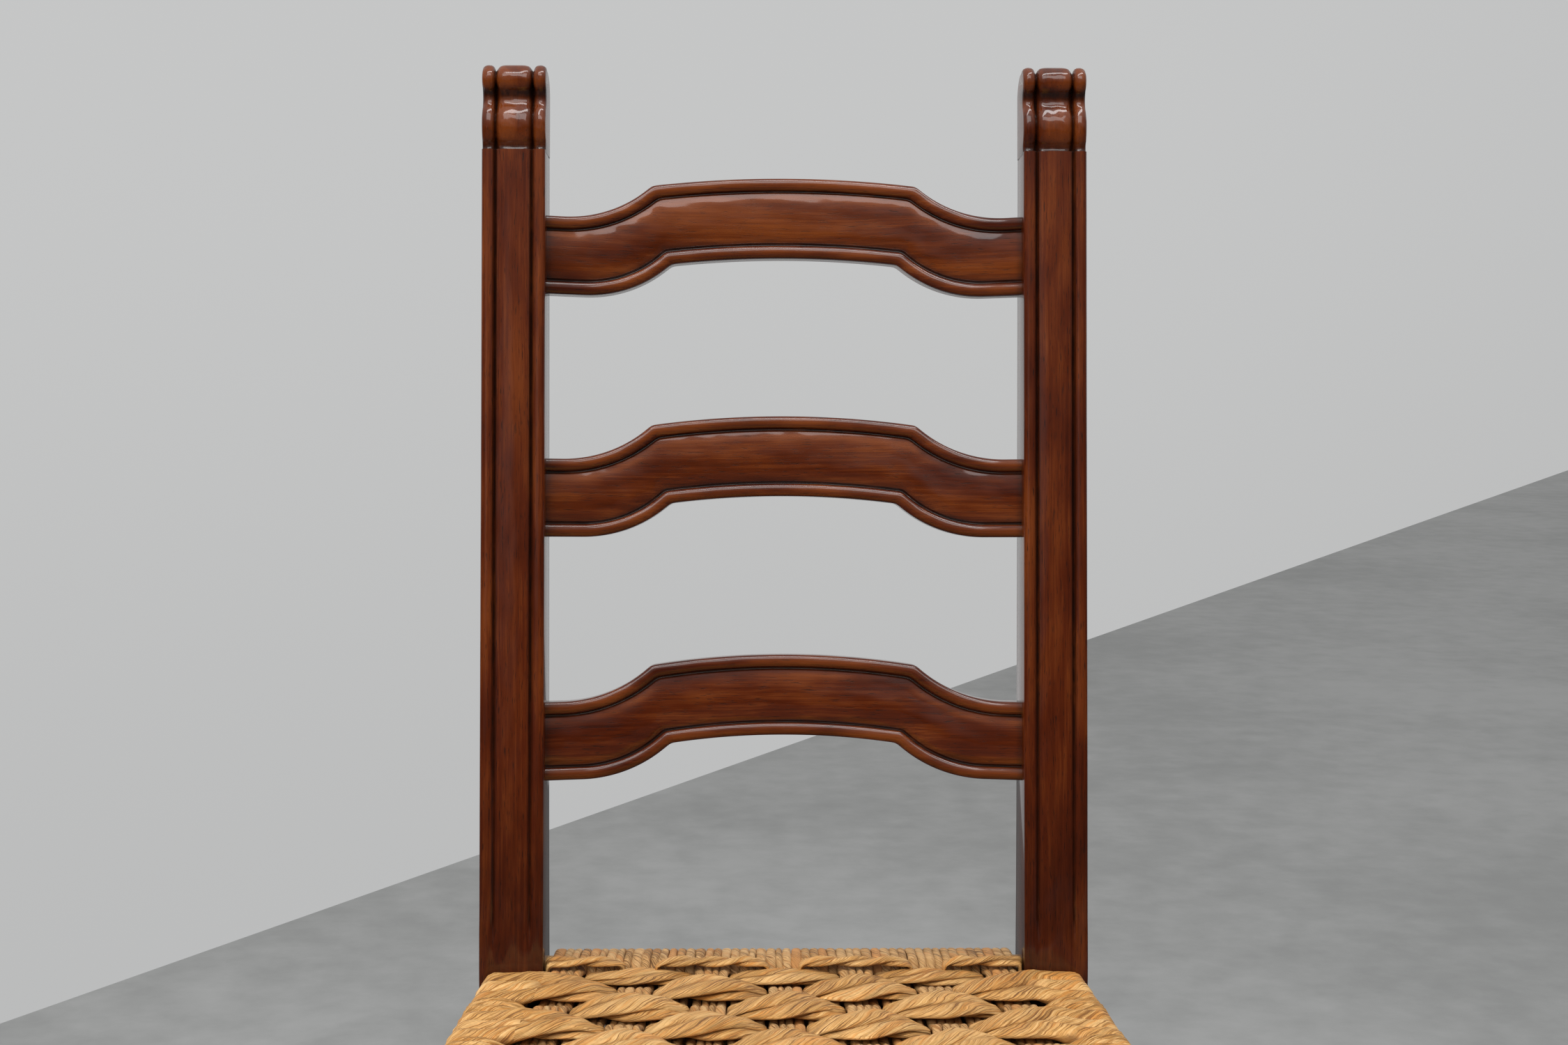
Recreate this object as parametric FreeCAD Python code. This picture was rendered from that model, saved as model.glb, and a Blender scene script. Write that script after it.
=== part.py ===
import FreeCAD, Part
import math
import os

Vector = FreeCAD.Vector

# Ladderback chair, in millimetres. X to the chair's left-right, Y backwards, Z up.
# The origin lies on the floor, under the middle of the chair's bounding box.

# Driving dimensions: overall
SEAT_HEIGHT = 460.0
BACK_WIDTH = 430.0
FRONT_WIDTH = 486.0
RAKE_DEGREES = 7.5

# Rear posts, sawn in one piece from foot to finial
POST_FRONT = 0.0
POST_WIDTH = 45.0
POST_DEPTH_FOOT = 44.0
POST_DEPTH_CALF = 49.0
POST_DEPTH_SEAT = 54.0
POST_DEPTH_LUMBAR = 47.0
POST_DEPTH_TOP = 38.0
LUMBAR_HEIGHT = 140.0
BACK_RISE = 584.0

# Front legs
LEG_WIDTH = 45.0
LEG_DEPTH = 48.0
LEG_TOP_ABOVE_SEAT = 9.0
LEG_TOP_BEVEL = 3.0

# Reeded face: bead, groove, broad field, groove, bead
REED_BEAD = 8.3
REED_GROOVE = 2.7
REED_GROOVE_DEPTH = 3.0
REED_FIELD_SWELL = 1.3
REED_SKIM = 0.15
REED_CORNER_DROP = 2.8
REED_START = 36.0
REED_FADE = 14.0
LEG_REED_FOOT_GAP = 70.0
LEG_REED_SEAT_GAP = 70.0

# Carved scroll finial
FINIAL_HEIGHT = 59.5
FINIAL_LEDGE = 3.8
FINIAL_SIDE_STEP = 1.0
FINIAL_COVE_RISE = 6.5
FINIAL_ROLL_MIDDLE = 18.6
FINIAL_ROLL_TOP = 31.5
FINIAL_WAIST = 6.8
FINIAL_WAIST_RISE = 11.0
FINIAL_GROOVE_DEPTH = 2.8
FINIAL_BROW_DROP = 2.6
FINIAL_TOP_FALL = 8.0
FINIAL_NAPE = 12.0

# Bowed serpentine slats
SLAT_COUNT = 3
SLAT_FIRST = 135.3
SLAT_PITCH = 174.0
SLAT_HEIGHT = 56.0
SLAT_THICKNESS = 19.0
SLAT_BOW = 32.0
SLAT_SETBACK = 13.0
SWEEP_RADIUS = 92.0
TOP_SHOULDER_TO_POST = 74.0
TOP_SHOULDER_RISE = 25.2
TOP_CROWN_RISE = 32.5
LOW_SHOULDER_TO_POST = 88.0
LOW_SHOULDER_RISE = 24.6
LOW_CROWN_RISE = 30.1
BEAD_WIDTH = 9.0
QUIRK_WIDTH = 2.2
QUIRK_DEPTH = 2.6
BEAD_EASE = 2.2
FIELD_DROP = 0.6

# Joints
TENON_LENGTH = 22.0
SIDE_TENON_LENGTH = 20.0
TENON_ROOT = 10.0
TENON_SHOULDER = 6.0
TENON_THICKNESS = 9.0
FIT = 0.15
MORTISE_END = 1.0

# Seat rails, hidden under the weave
RAIL_HEIGHT = 40.0
END_RAIL_THICKNESS = 24.0
END_RAIL_RISE = 1.0
SIDE_RAIL_THICKNESS = 26.0
SIDE_RAIL_DROP = 8.0
SIDE_WRAP_ROOM = 8.0
RAIL_EASE = 3.0
REAR_RAIL_SETBACK = 21.0
CORD_LAY = 0.2
FRONT_RAIL_BEHIND_LEG = 3.0

# Stretchers
STRETCHER_THICKNESS = 20.0
STRETCHER_HEIGHT = 32.0
STRETCHER_EASE = 2.0
SIDE_STRETCHERS = {"stretcher_side_lower": 120.0, "stretcher_side_upper": 265.0}
REAR_STRETCHER_LEVEL = 190.0
REAR_STRETCHER_Y = 34.0
FRONT_STRETCHER_LEVEL = 245.0
FRONT_STRETCHER_SETBACK = 10.0

# Woven seat: warp cords front to back in groups, fat weft bundles across
WARP_GROUPS = 13
CORDS_PER_GROUP = 4
WARP_THICKNESS = 5.5
CORD_VALLEY = 1.7
GROUP_GAP = 3.6
WARP_EDGE_ROOM = 5.6
FIELD_SINK = 1.5
RAIL_SLOPE_RUN = 12.0
RAIL_CREST_INSET = 2.0
WEAVE_CLEARANCE = 0.3

WEFT_ROWS = 10
WEFT_PITCH = 37.5
WEFT_END_ROOM = 6.0
WEFT_CROWN = 7.6
WEFT_SHOULDER = 5.8
WEFT_PINCH = 4.0
WEFT_WRAP = 6.4
WEFT_NECK_WIDTH = 20.0
WEFT_PASS = 2.4
NARROW_WRAP = 24.0
END_WRAP_GAP = 1.0
WEFT_LIP = 1.5
WEFT_BED = 0.6
EDGE_STRAND_WIDTH = 7.0
EDGE_STRAND_THICKNESS = 4.8
EDGE_STRAND_STANDOFF = 3.5
SLOT_STRAND = 3.2

# Groups that a weft passes under, by row kind
UNDER_GROUPS = {"outer": (0, 4, 8, 12), "inner": (2, 6, 10)}

# Places worked out from the driving dimensions
RAKE = math.radians(RAKE_DEGREES)
POST_CENTRE_X = (BACK_WIDTH - POST_WIDTH) / 2.0
POST_INNER_X = BACK_WIDTH / 2.0 - POST_WIDTH
LEG_CENTRE_X = (FRONT_WIDTH - LEG_WIDTH) / 2.0
LEG_INNER_X = FRONT_WIDTH / 2.0 - LEG_WIDTH

END_RAIL_TOP = SEAT_HEIGHT + END_RAIL_RISE
SIDE_RAIL_TOP = SEAT_HEIGHT - SIDE_RAIL_DROP
FIELD_LEVEL = SIDE_RAIL_TOP - FIELD_SINK

REAR_RAIL_FRONT = REAR_RAIL_SETBACK
REAR_RAIL_BACK = REAR_RAIL_FRONT + END_RAIL_THICKNESS
FIELD_REAR = REAR_RAIL_FRONT + RAIL_CREST_INSET - RAIL_SLOPE_RUN
FIRST_ROW_Y = FIELD_REAR - WEFT_END_ROOM
LAST_ROW_Y = FIRST_ROW_Y - WEFT_PITCH * (WEFT_ROWS - 1)
FIELD_FRONT = LAST_ROW_Y - WEFT_END_ROOM
FRONT_RAIL_BACK = FIELD_FRONT - RAIL_SLOPE_RUN + RAIL_CREST_INSET
FRONT_RAIL_FRONT = FRONT_RAIL_BACK - END_RAIL_THICKNESS
LEG_FRONT = FRONT_RAIL_FRONT - FRONT_RAIL_BEHIND_LEG
LEG_BACK = LEG_FRONT + LEG_DEPTH
LEG_CENTRE_Y = (LEG_FRONT + LEG_BACK) / 2.0
FLARE = (LEG_CENTRE_X - POST_CENTRE_X) / -LEG_CENTRE_Y

FRONT_STRETCHER_Y = LEG_FRONT + FRONT_STRETCHER_SETBACK + SLAT_THICKNESS / 2.0
SIDE_RAIL_X = BACK_WIDTH / 2.0 - SIDE_WRAP_ROOM - SIDE_RAIL_THICKNESS / 2.0

SLAT_HALF = POST_INNER_X
TOP_SHOULDER = SLAT_HALF - TOP_SHOULDER_TO_POST
LOW_SHOULDER = SLAT_HALF - LOW_SHOULDER_TO_POST
SLAT_RADIUS = (SLAT_HALF ** 2 + SLAT_BOW ** 2) / (2.0 * SLAT_BOW)
SLAT_END_ANGLE = math.asin(SLAT_HALF / SLAT_RADIUS)

# Weave levels and places worked out from the rails
WARP_PITCH_REAR = 2.0 * (POST_INNER_X - WARP_EDGE_ROOM) / WARP_GROUPS
WARP_PITCH_FRONT = 2.0 * (LEG_INNER_X - WARP_EDGE_ROOM) / WARP_GROUPS
REAR_RAIL_Y = (REAR_RAIL_FRONT + REAR_RAIL_BACK) / 2.0
FRONT_RAIL_Y = (FRONT_RAIL_FRONT + FRONT_RAIL_BACK) / 2.0
OVER_LEVEL = FIELD_LEVEL + WARP_THICKNESS + WEAVE_CLEARANCE
UNDER_LEVEL = FIELD_LEVEL - WEAVE_CLEARANCE
LAP_LEVEL = SIDE_RAIL_TOP + WEAVE_CLEARANCE
BELLY_LEVEL = SIDE_RAIL_TOP - RAIL_HEIGHT - WEAVE_CLEARANCE


def lean(shape):
    """Turn a shape from the back's own frame into the chair's frame."""
    shape.rotate(Vector(0, 0, 0), Vector(1, 0, 0), -RAKE_DEGREES)
    shape.translate(Vector(0, 0, SEAT_HEIGHT))
    return shape


def back_point(depth, rise):
    """Point of the post's side view, given square to the raked front face."""
    y = depth * math.cos(RAKE) + rise * math.sin(RAKE)
    z = SEAT_HEIGHT - depth * math.sin(RAKE) + rise * math.cos(RAKE)
    return Vector(0, y, z)


def line(a, b):
    return Part.LineSegment(a, b).toShape()


def arc(a, mid, b):
    return Part.Arc(a, mid, b).toShape()


def prism(edges, direction):
    """Extrude the face that the edges enclose."""
    wire = Part.Wire(Part.__sortEdges__(edges))
    return Part.Face(wire).extrude(direction)


def polygon_prism(points, direction):
    wire = Part.makePolygon(points + [points[0]])
    return Part.Face(wire).extrude(direction)


def box(x0, x1, y0, y1, z0, z1):
    return Part.makeBox(x1 - x0, y1 - y0, z1 - z0, Vector(x0, y0, z0))


def mirrored(shape):
    return shape.mirror(Vector(0, 0, 0), Vector(1, 0, 0))


# Reeded face

def reed_outline(level, deepness):
    """Closed outline, at one height, of what the moulding plane takes off a face."""
    half = POST_WIDTH / 2.0
    outside = 1.0
    crest = half - REED_BEAD / 2.0
    bead_end = half - REED_BEAD
    groove_mid = bead_end - REED_GROOVE / 2.0
    field_end = bead_end - REED_GROOVE
    lip = REED_SKIM + deepness * REED_FIELD_SWELL

    def at(x, depth):
        return Vector(x, depth, level)

    bottom = REED_SKIM + deepness * REED_GROOVE_DEPTH
    corner = REED_SKIM + deepness * REED_CORNER_DROP
    knuckle = REED_SKIM + deepness * REED_CORNER_DROP * 0.27
    edges = []
    for side in (-1.0, 1.0):
        rim = at(side * half, corner)
        top = at(side * crest, REED_SKIM)
        lap = at(side * bead_end, lip)
        shoulder = at(side * (half + crest) / 2.0, knuckle)
        fall = at(side * (crest + bead_end) / 2.0, REED_SKIM + (lip - REED_SKIM) * 0.3)
        edges.append(line(at(side * half, -outside), at(side * (half + outside), -outside)))
        edges.append(line(at(side * (half + outside), -outside), at(side * (half + outside), corner)))
        edges.append(line(at(side * (half + outside), corner), rim))
        edges.append(arc(rim, shoulder, top))
        edges.append(arc(top, fall, lap))
        edges.append(line(lap, at(side * groove_mid, bottom)))
        edges.append(line(at(side * groove_mid, bottom), at(side * field_end, lip)))
    edges.append(arc(at(-field_end, lip), at(0, REED_SKIM), at(field_end, lip)))
    edges.append(line(at(-half, -outside), at(half, -outside)))
    return Part.Wire(Part.__sortEdges__(edges))


def reed_cutter(low, high):
    """Moulding cutter along Z that fades out below its low end, like a lamb's tongue."""
    faint = 0.03
    fade = Part.makeLoft([reed_outline(low, faint), reed_outline(low + REED_FADE, 1.0)], True, True)
    face = Part.Face(reed_outline(low + REED_FADE, 1.0))
    run = face.extrude(Vector(0, 0, high - low - REED_FADE))
    return fade, run


# Carved finial

def finial_points():
    """Depth and rise of the scroll's points: end, middle, end of each arc from foot to heel.

    In side view a cove leads to a roll, a waist and a top roll, and the crown falls back.
    """
    depth = POST_DEPTH_TOP
    top = FINIAL_HEIGHT
    waist_end = FINIAL_ROLL_TOP + FINIAL_WAIST_RISE
    brow = top - FINIAL_BROW_DROP
    nape = top - FINIAL_NAPE
    return [
        (FINIAL_LEDGE, 0.0),
        (FINIAL_LEDGE * 1.25, FINIAL_COVE_RISE * 0.45),
        (FINIAL_LEDGE * 0.8, FINIAL_COVE_RISE),
        (0.0, FINIAL_ROLL_MIDDLE),
        (FINIAL_WAIST * 0.7, FINIAL_ROLL_TOP),
        (FINIAL_WAIST, FINIAL_ROLL_TOP + FINIAL_WAIST_RISE * 0.5),
        (FINIAL_WAIST * 0.73, waist_end),
        (FINIAL_LEDGE * 0.25, (waist_end + brow) / 2.0),
        (FINIAL_LEDGE * 1.3, brow),
        (depth * 0.24, top),
        (depth * 0.42, top - FINIAL_BROW_DROP * 0.25),
        (depth * 0.76, top - FINIAL_TOP_FALL * 0.5),
        (depth * 0.95, nape),
        (depth * 0.99, nape - FINIAL_NAPE * 0.3),
        (depth, nape - FINIAL_TOP_FALL),
    ]


def finial_profile(x):
    """Edges of the scroll's side view."""
    points = [Vector(x, depth, BACK_RISE + rise) for depth, rise in finial_points()]
    heel = Vector(x, POST_DEPTH_TOP, BACK_RISE)
    edges = [arc(*points[i:i + 3]) for i in range(0, len(points) - 1, 2)]
    return edges + [line(points[-1], heel), line(heel, points[0])]


def finial_groove(x):
    """Prism of a groove that follows the scroll at an even depth, with facets for a floor."""
    deep = FINIAL_GROOVE_DEPTH
    floor = [Vector(x, depth + deep, BACK_RISE + rise - deep) for depth, rise in finial_points()]
    floor.append(Vector(x, POST_DEPTH_TOP + deep, BACK_RISE - deep))
    run = Vector(REED_GROOVE, 0, 0)
    return prism(finial_profile(x), run).cut(polygon_prism(floor, run))


def finial():
    """Scroll with three lobes that carry on the post's reeds, in the back's own frame."""
    half = POST_WIDTH / 2.0 - FINIAL_SIDE_STEP
    bead_in = POST_WIDTH / 2.0 - REED_BEAD
    body = prism(finial_profile(-half), Vector(2.0 * half, 0, 0))
    for start in (-bead_in, bead_in - REED_GROOVE):
        body = body.cut(finial_groove(start))
    return body


# Bowed, moulded slat

def serpentine(half, base, shoulder, shoulder_rise, crown_rise, shift):
    """Edges of one long edge of a slat, from -half to half, moved along Z by shift.

    The ends run flat, then a sweep curves up to a crisp shoulder, and a long shallow
    crown joins the shoulders. A shift keeps the sweeps and the crown concentric.
    """
    turn = math.acos(1.0 - shoulder_rise / SWEEP_RADIUS)
    flat_x = shoulder + SWEEP_RADIUS * math.sin(turn)
    sweep_z = base + SWEEP_RADIUS
    sagitta = crown_rise - shoulder_rise
    crown_radius = (shoulder ** 2 + sagitta ** 2) / (2.0 * sagitta)
    crown_z = base + crown_rise - crown_radius
    sweep_r = SWEEP_RADIUS - shift
    crown_r = crown_radius + shift
    meet_x, meet_z = circles_meet(flat_x, sweep_z, sweep_r, 0.0, crown_z, crown_r)

    def at(x, z):
        return Vector(x, 0, z)

    def sweep_mid(side):
        start = -math.pi / 2.0
        end = math.atan2(meet_z - sweep_z, meet_x - flat_x)
        if end > 0.0:
            end -= 2.0 * math.pi
        mid = (start + end) / 2.0
        return at(side * (flat_x + sweep_r * math.cos(mid)), sweep_z + sweep_r * math.sin(mid))

    flat_z = base + shift
    left = [line(at(-half, flat_z), at(-flat_x, flat_z)),
            arc(at(-flat_x, flat_z), sweep_mid(-1.0), at(-meet_x, meet_z))]
    crown = [arc(at(-meet_x, meet_z), at(0, crown_z + crown_r), at(meet_x, meet_z))]
    right = [arc(at(meet_x, meet_z), sweep_mid(1.0), at(flat_x, flat_z)),
             line(at(flat_x, flat_z), at(half, flat_z))]
    return left + crown + right


def circles_meet(ax, az, ar, bx, bz, br):
    """Where two circles cross, taking the crossing that is lower down and nearer the middle."""
    dx = bx - ax
    dz = bz - az
    gap = math.hypot(dx, dz)
    along = (ar ** 2 - br ** 2 + gap ** 2) / (2.0 * gap)
    off = math.sqrt(max(ar ** 2 - along ** 2, 0.0))
    px = ax + along * dx / gap
    pz = az + along * dz / gap
    first = (px - off * dz / gap, pz + off * dx / gap)
    second = (px + off * dz / gap, pz - off * dx / gap)
    return min((first, second), key=lambda p: abs(p[0] - (ax - ar * 0.5)) + abs(p[1] - az + ar))


def top_edge(half, base, shift):
    return serpentine(half, base + SLAT_HEIGHT, TOP_SHOULDER, TOP_SHOULDER_RISE,
                      TOP_CROWN_RISE, shift)


def low_edge(half, base, shift):
    return serpentine(half, base, LOW_SHOULDER, LOW_SHOULDER_RISE, LOW_CROWN_RISE, shift)


def band_prism(lower, upper, half, y0, y1):
    """Board cut to the outline between two long edges."""
    low_z = lower[0].Vertexes[0].Z
    high_z = upper[0].Vertexes[0].Z
    ends = [line(Vector(-half, 0, low_z), Vector(-half, 0, high_z)),
            line(Vector(half, 0, low_z), Vector(half, 0, high_z))]
    solid = prism(lower + upper + ends, Vector(0, y1 - y0, 0))
    solid.translate(Vector(0, y0, 0))
    return solid


def bent_board(half, low, high, front, back, bow):
    """Board bent about an upright axis, between two depths behind its own ends' face."""
    margin = BEAD_WIDTH
    reach = half + margin
    if bow <= 0.0:
        return box(-reach, reach, front, back, low, high)
    radius = (half ** 2 + bow ** 2) / (2.0 * bow)
    axis_y = bow - radius
    outer = Part.makeCylinder(radius + back, high - low, Vector(0, axis_y, low))
    inner = Part.makeCylinder(radius + front, high - low, Vector(0, axis_y, low))
    window = box(-reach, reach, -margin, bow + back + margin, low, high)
    return outer.cut(inner).common(window)


def moulded_board(half, base, bow):
    """Serpentine board with an edge bead, a quirk and a raised field on its front."""
    margin = SLAT_THICKNESS
    low = base - margin
    high = base + SLAT_HEIGHT + TOP_CROWN_RISE + margin
    deep = bow + SLAT_THICKNESS + margin

    def between(low_shift, high_shift):
        return band_prism(low_edge(half, base, low_shift), top_edge(half, base, high_shift),
                          half, -margin, deep)

    inner = BEAD_WIDTH + QUIRK_WIDTH
    blank = between(0.0, 0.0).common(bent_board(half, low, high, 0.0, SLAT_THICKNESS, bow))
    quirk_skin = bent_board(half, low, high, -QUIRK_WIDTH, QUIRK_DEPTH, bow)
    field_skin = bent_board(half, low, high, -QUIRK_WIDTH, FIELD_DROP, bow)
    inside_beads = between(BEAD_WIDTH, -BEAD_WIDTH)
    field = between(inner, -inner)
    blank = blank.cut(inside_beads.cut(field).common(quirk_skin))
    blank = blank.cut(field.common(field_skin))
    return ease_beads(blank, half, bow) if bow > 0.0 else blank


def ease_beads(board, half, bow):
    """Bevel both front edges of each edge bead, and the rim of the raised field."""
    radius = (half ** 2 + bow ** 2) / (2.0 * bow)
    picked = []
    for edge in board.Edges:
        middle = edge.valueAt((edge.FirstParameter + edge.LastParameter) / 2.0)
        depth = math.hypot(middle.x, middle.y - bow + radius) - radius
        on_end = abs(abs(middle.x) - half) < 0.5
        if abs(depth) < 0.05 and not on_end:
            picked.append(edge)
    return board.makeChamfer(BEAD_EASE, picked)


def slat(index):
    """One bowed slat with its tenons, in the back's own frame."""
    base = SLAT_FIRST + SLAT_PITCH * index
    board = moulded_board(SLAT_HALF, base, SLAT_BOW)
    board.translate(Vector(0, SLAT_SETBACK, 0))
    return board, slat_tenons(base, 0.0, 0.0)


def slat_tenons(base, room, end_room):
    """Straight tenons at a slat's ends, or with room the mortises that take them."""
    middle = SLAT_SETBACK + SLAT_THICKNESS / math.cos(SLAT_END_ANGLE) / 2.0
    reach = SLAT_HALF + TENON_LENGTH + end_room
    root = SLAT_HALF - TENON_ROOT if room == 0.0 else SLAT_HALF
    pieces = []
    for side in (-1.0, 1.0):
        x0, x1 = sorted((side * root, side * reach))
        pieces.append(box(x0, x1,
                          middle - TENON_THICKNESS / 2.0 - room, middle + TENON_THICKNESS / 2.0 + room,
                          base + TENON_SHOULDER - room, base + SLAT_HEIGHT - TENON_SHOULDER + room))
    return pieces


# Straight members and their tenons

def cross_member(half, y_mid, thickness, bottom, height, ease):
    """Straight bar across the chair, shouldered against two uprights' inner faces."""
    bar = box(-half, half, y_mid - thickness / 2.0, y_mid + thickness / 2.0, bottom, bottom + height)
    return bar.makeChamfer(ease, [e for e in bar.Edges if e.BoundBox.XLength > half])


def cross_tenons(half, y_mid, bottom, height, room, end_room):
    reach = half + TENON_LENGTH + end_room
    root = half - TENON_ROOT if room == 0.0 else half
    pieces = []
    for side in (-1.0, 1.0):
        x0, x1 = sorted((side * root, side * reach))
        pieces.append(box(x0, x1,
                          y_mid - TENON_THICKNESS / 2.0 - room, y_mid + TENON_THICKNESS / 2.0 + room,
                          bottom + TENON_SHOULDER - room, bottom + height - TENON_SHOULDER + room))
    return pieces


def side_x(base_x, y):
    """Centre line of a side member, which spreads towards the front of the chair."""
    return base_x - FLARE * y


def side_bar(base_x, y0, y1, width, z0, z1):
    """Bar along one side of the chair between two depths, following the seat's flare."""
    corners = [Vector(side_x(base_x, y) + half, y, z0)
               for y, half in ((y0, -width / 2.0), (y0, width / 2.0),
                               (y1, width / 2.0), (y1, -width / 2.0))]
    return polygon_prism(corners, Vector(0, 0, z1 - z0))


def side_member(base_x, thickness, bottom, height, ease):
    bar = side_bar(base_x, LEG_BACK, POST_FRONT, thickness, bottom, bottom + height)
    return bar.makeChamfer(ease, [e for e in bar.Edges if e.BoundBox.YLength > LEG_DEPTH])


def side_tenons(base_x, bottom, height, room, end_room):
    reach = SIDE_TENON_LENGTH + end_room
    root = TENON_ROOT if room == 0.0 else 0.0
    width = TENON_THICKNESS + 2.0 * room
    z0 = bottom + TENON_SHOULDER - room
    z1 = bottom + height - TENON_SHOULDER + room
    return [side_bar(base_x, POST_FRONT - root, POST_FRONT + reach, width, z0, z1),
            side_bar(base_x, LEG_BACK - reach, LEG_BACK + root, width, z0, z1)]


def joined(body, tenons):
    for tenon in tenons:
        body = body.fuse(tenon)
    return body.removeSplitter()


def mortised(body, cuts):
    for cut in cuts:
        body = body.cut(cut)
    return body


# Uprights

def rear_post():
    """Left or right rear post about X = 0: sawn knee, tapered back, reeds and finial."""
    foot_front = Vector(0, POST_FRONT, 0)
    knee = Vector(0, POST_FRONT, SEAT_HEIGHT)
    top_front = back_point(0, BACK_RISE)
    top_back = back_point(POST_DEPTH_TOP, BACK_RISE)
    lumbar = back_point(POST_DEPTH_LUMBAR, LUMBAR_HEIGHT)
    seat_back = Vector(0, POST_DEPTH_SEAT, SEAT_HEIGHT)
    lower_back = Vector(0, POST_DEPTH_CALF, SEAT_HEIGHT - LUMBAR_HEIGHT)
    foot_back = Vector(0, POST_DEPTH_FOOT, 0)
    outline = [line(foot_front, knee), line(knee, top_front), line(top_front, top_back),
               line(top_back, lumbar), arc(lumbar, seat_back, lower_back),
               line(lower_back, foot_back), line(foot_back, foot_front)]
    half = POST_WIDTH / 2.0
    blank = prism(outline, Vector(POST_WIDTH, 0, 0))
    blank.translate(Vector(-half, 0, 0))
    reeds = [lean(tool) for tool in reed_cutter(REED_START - REED_FADE, BACK_RISE + 1.0)]
    return mortised(blank, reeds).fuse(lean(finial()))


def front_leg():
    """Front leg about X = 0, with reeds on its front face between foot and seat."""
    half = LEG_WIDTH / 2.0
    top = SEAT_HEIGHT + LEG_TOP_ABOVE_SEAT
    leg = box(-half, half, LEG_FRONT, LEG_BACK, 0.0, top)
    crown = [e for e in leg.Edges if abs(e.BoundBox.ZMin - top) < 0.01]
    leg = leg.makeChamfer(LEG_TOP_BEVEL, crown)
    reeds = reed_cutter(LEG_REED_FOOT_GAP, SEAT_HEIGHT - LEG_REED_SEAT_GAP)
    for tool in reeds:
        tool.translate(Vector(0, LEG_FRONT, 0))
    return mortised(leg, reeds)


# Woven seat

def pitch_at(y):
    """Width of one warp group at a depth: the cords fan out towards the wider front."""
    share = (REAR_RAIL_Y - y) / (REAR_RAIL_Y - FRONT_RAIL_Y)
    return WARP_PITCH_REAR + (WARP_PITCH_FRONT - WARP_PITCH_REAR) * share


def faceted_loop(sections):
    """Closed solid ring through matching sections, with flat facets between neighbours."""
    faces = []
    count = len(sections)
    for i in range(count):
        near, far = sections[i], sections[(i + 1) % count]
        for j in range(len(near)):
            k = (j + 1) % len(near)
            corners = [near[j], near[k], far[k], far[j]]
            normal = (corners[1] - corners[0]).cross(corners[2] - corners[0])
            lift = abs(normal.dot(corners[3] - corners[0])) / max(normal.Length, 1e-9)
            halves = [corners] if lift < 1e-6 else [corners[:3], [corners[2], corners[3], corners[0]]]
            faces += [Part.Face(Part.makePolygon(part + [part[0]])) for part in halves]
    shell = Part.makeCompound(faces)
    shell.sewShape()
    solid = Part.Solid(shell.Shells[0] if shell.ShapeType != "Shell" else shell)
    if solid.Volume < 0.0:
        solid.reverse()
    return solid


def offset_loop(points, distance):
    """Closed outline moved outwards, with its corners mitred."""
    moved = []
    count = len(points)
    for i in range(count):
        before, here, after = points[i - 1], points[i], points[(i + 1) % count]
        n1 = outward(before, here)
        n2 = outward(here, after)
        scale = distance / (1.0 + n1[0] * n2[0] + n1[1] * n2[1])
        moved.append((here[0] + (n1[0] + n2[0]) * scale, here[1] + (n1[1] + n2[1]) * scale))
    return moved


def outward(a, b):
    """Outward normal of one side of a loop that runs clockwise in the YZ view."""
    length = math.hypot(b[0] - a[0], b[1] - a[1])
    return ((b[1] - a[1]) / length, -(b[0] - a[0]) / length)


def warp_loop():
    """Inner outline of the warp in side view: round both end rails, dipping to the field."""
    top = END_RAIL_TOP + CORD_LAY
    bottom = END_RAIL_TOP - RAIL_HEIGHT - CORD_LAY
    rear = REAR_RAIL_BACK + CORD_LAY
    front = FRONT_RAIL_FRONT - CORD_LAY
    ease = RAIL_EASE
    return [(REAR_RAIL_FRONT + RAIL_CREST_INSET, top), (FIELD_REAR, FIELD_LEVEL),
            (FIELD_FRONT, FIELD_LEVEL), (FRONT_RAIL_BACK - RAIL_CREST_INSET, top),
            (front + ease, top), (front, top - ease), (front, bottom),
            (rear, bottom), (rear, top - ease), (rear - ease, top)]


def warp_group(index):
    """One group of cords lying side by side, as a ribbed band looped round both end rails."""
    inner = warp_loop()
    crest = offset_loop(inner, WARP_THICKNESS)
    valley = offset_loop(inner, WARP_THICKNESS - CORD_VALLEY)
    place = index - (WARP_GROUPS - 1) / 2.0
    steps = 2 * CORDS_PER_GROUP
    sections = []
    for low, peak, dip in zip(inner, crest, valley):
        def at(point, across):
            width = pitch_at(point[0]) - GROUP_GAP
            return Vector(place * pitch_at(point[0]) + across * width, point[0], point[1])
        ribs = [at(peak if j % 2 else dip, j / steps - 0.5) for j in range(steps + 1)]
        sections.append([at(low, -0.5)] + ribs + [at(low, 0.5)])
    return faceted_loop(sections)


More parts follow.
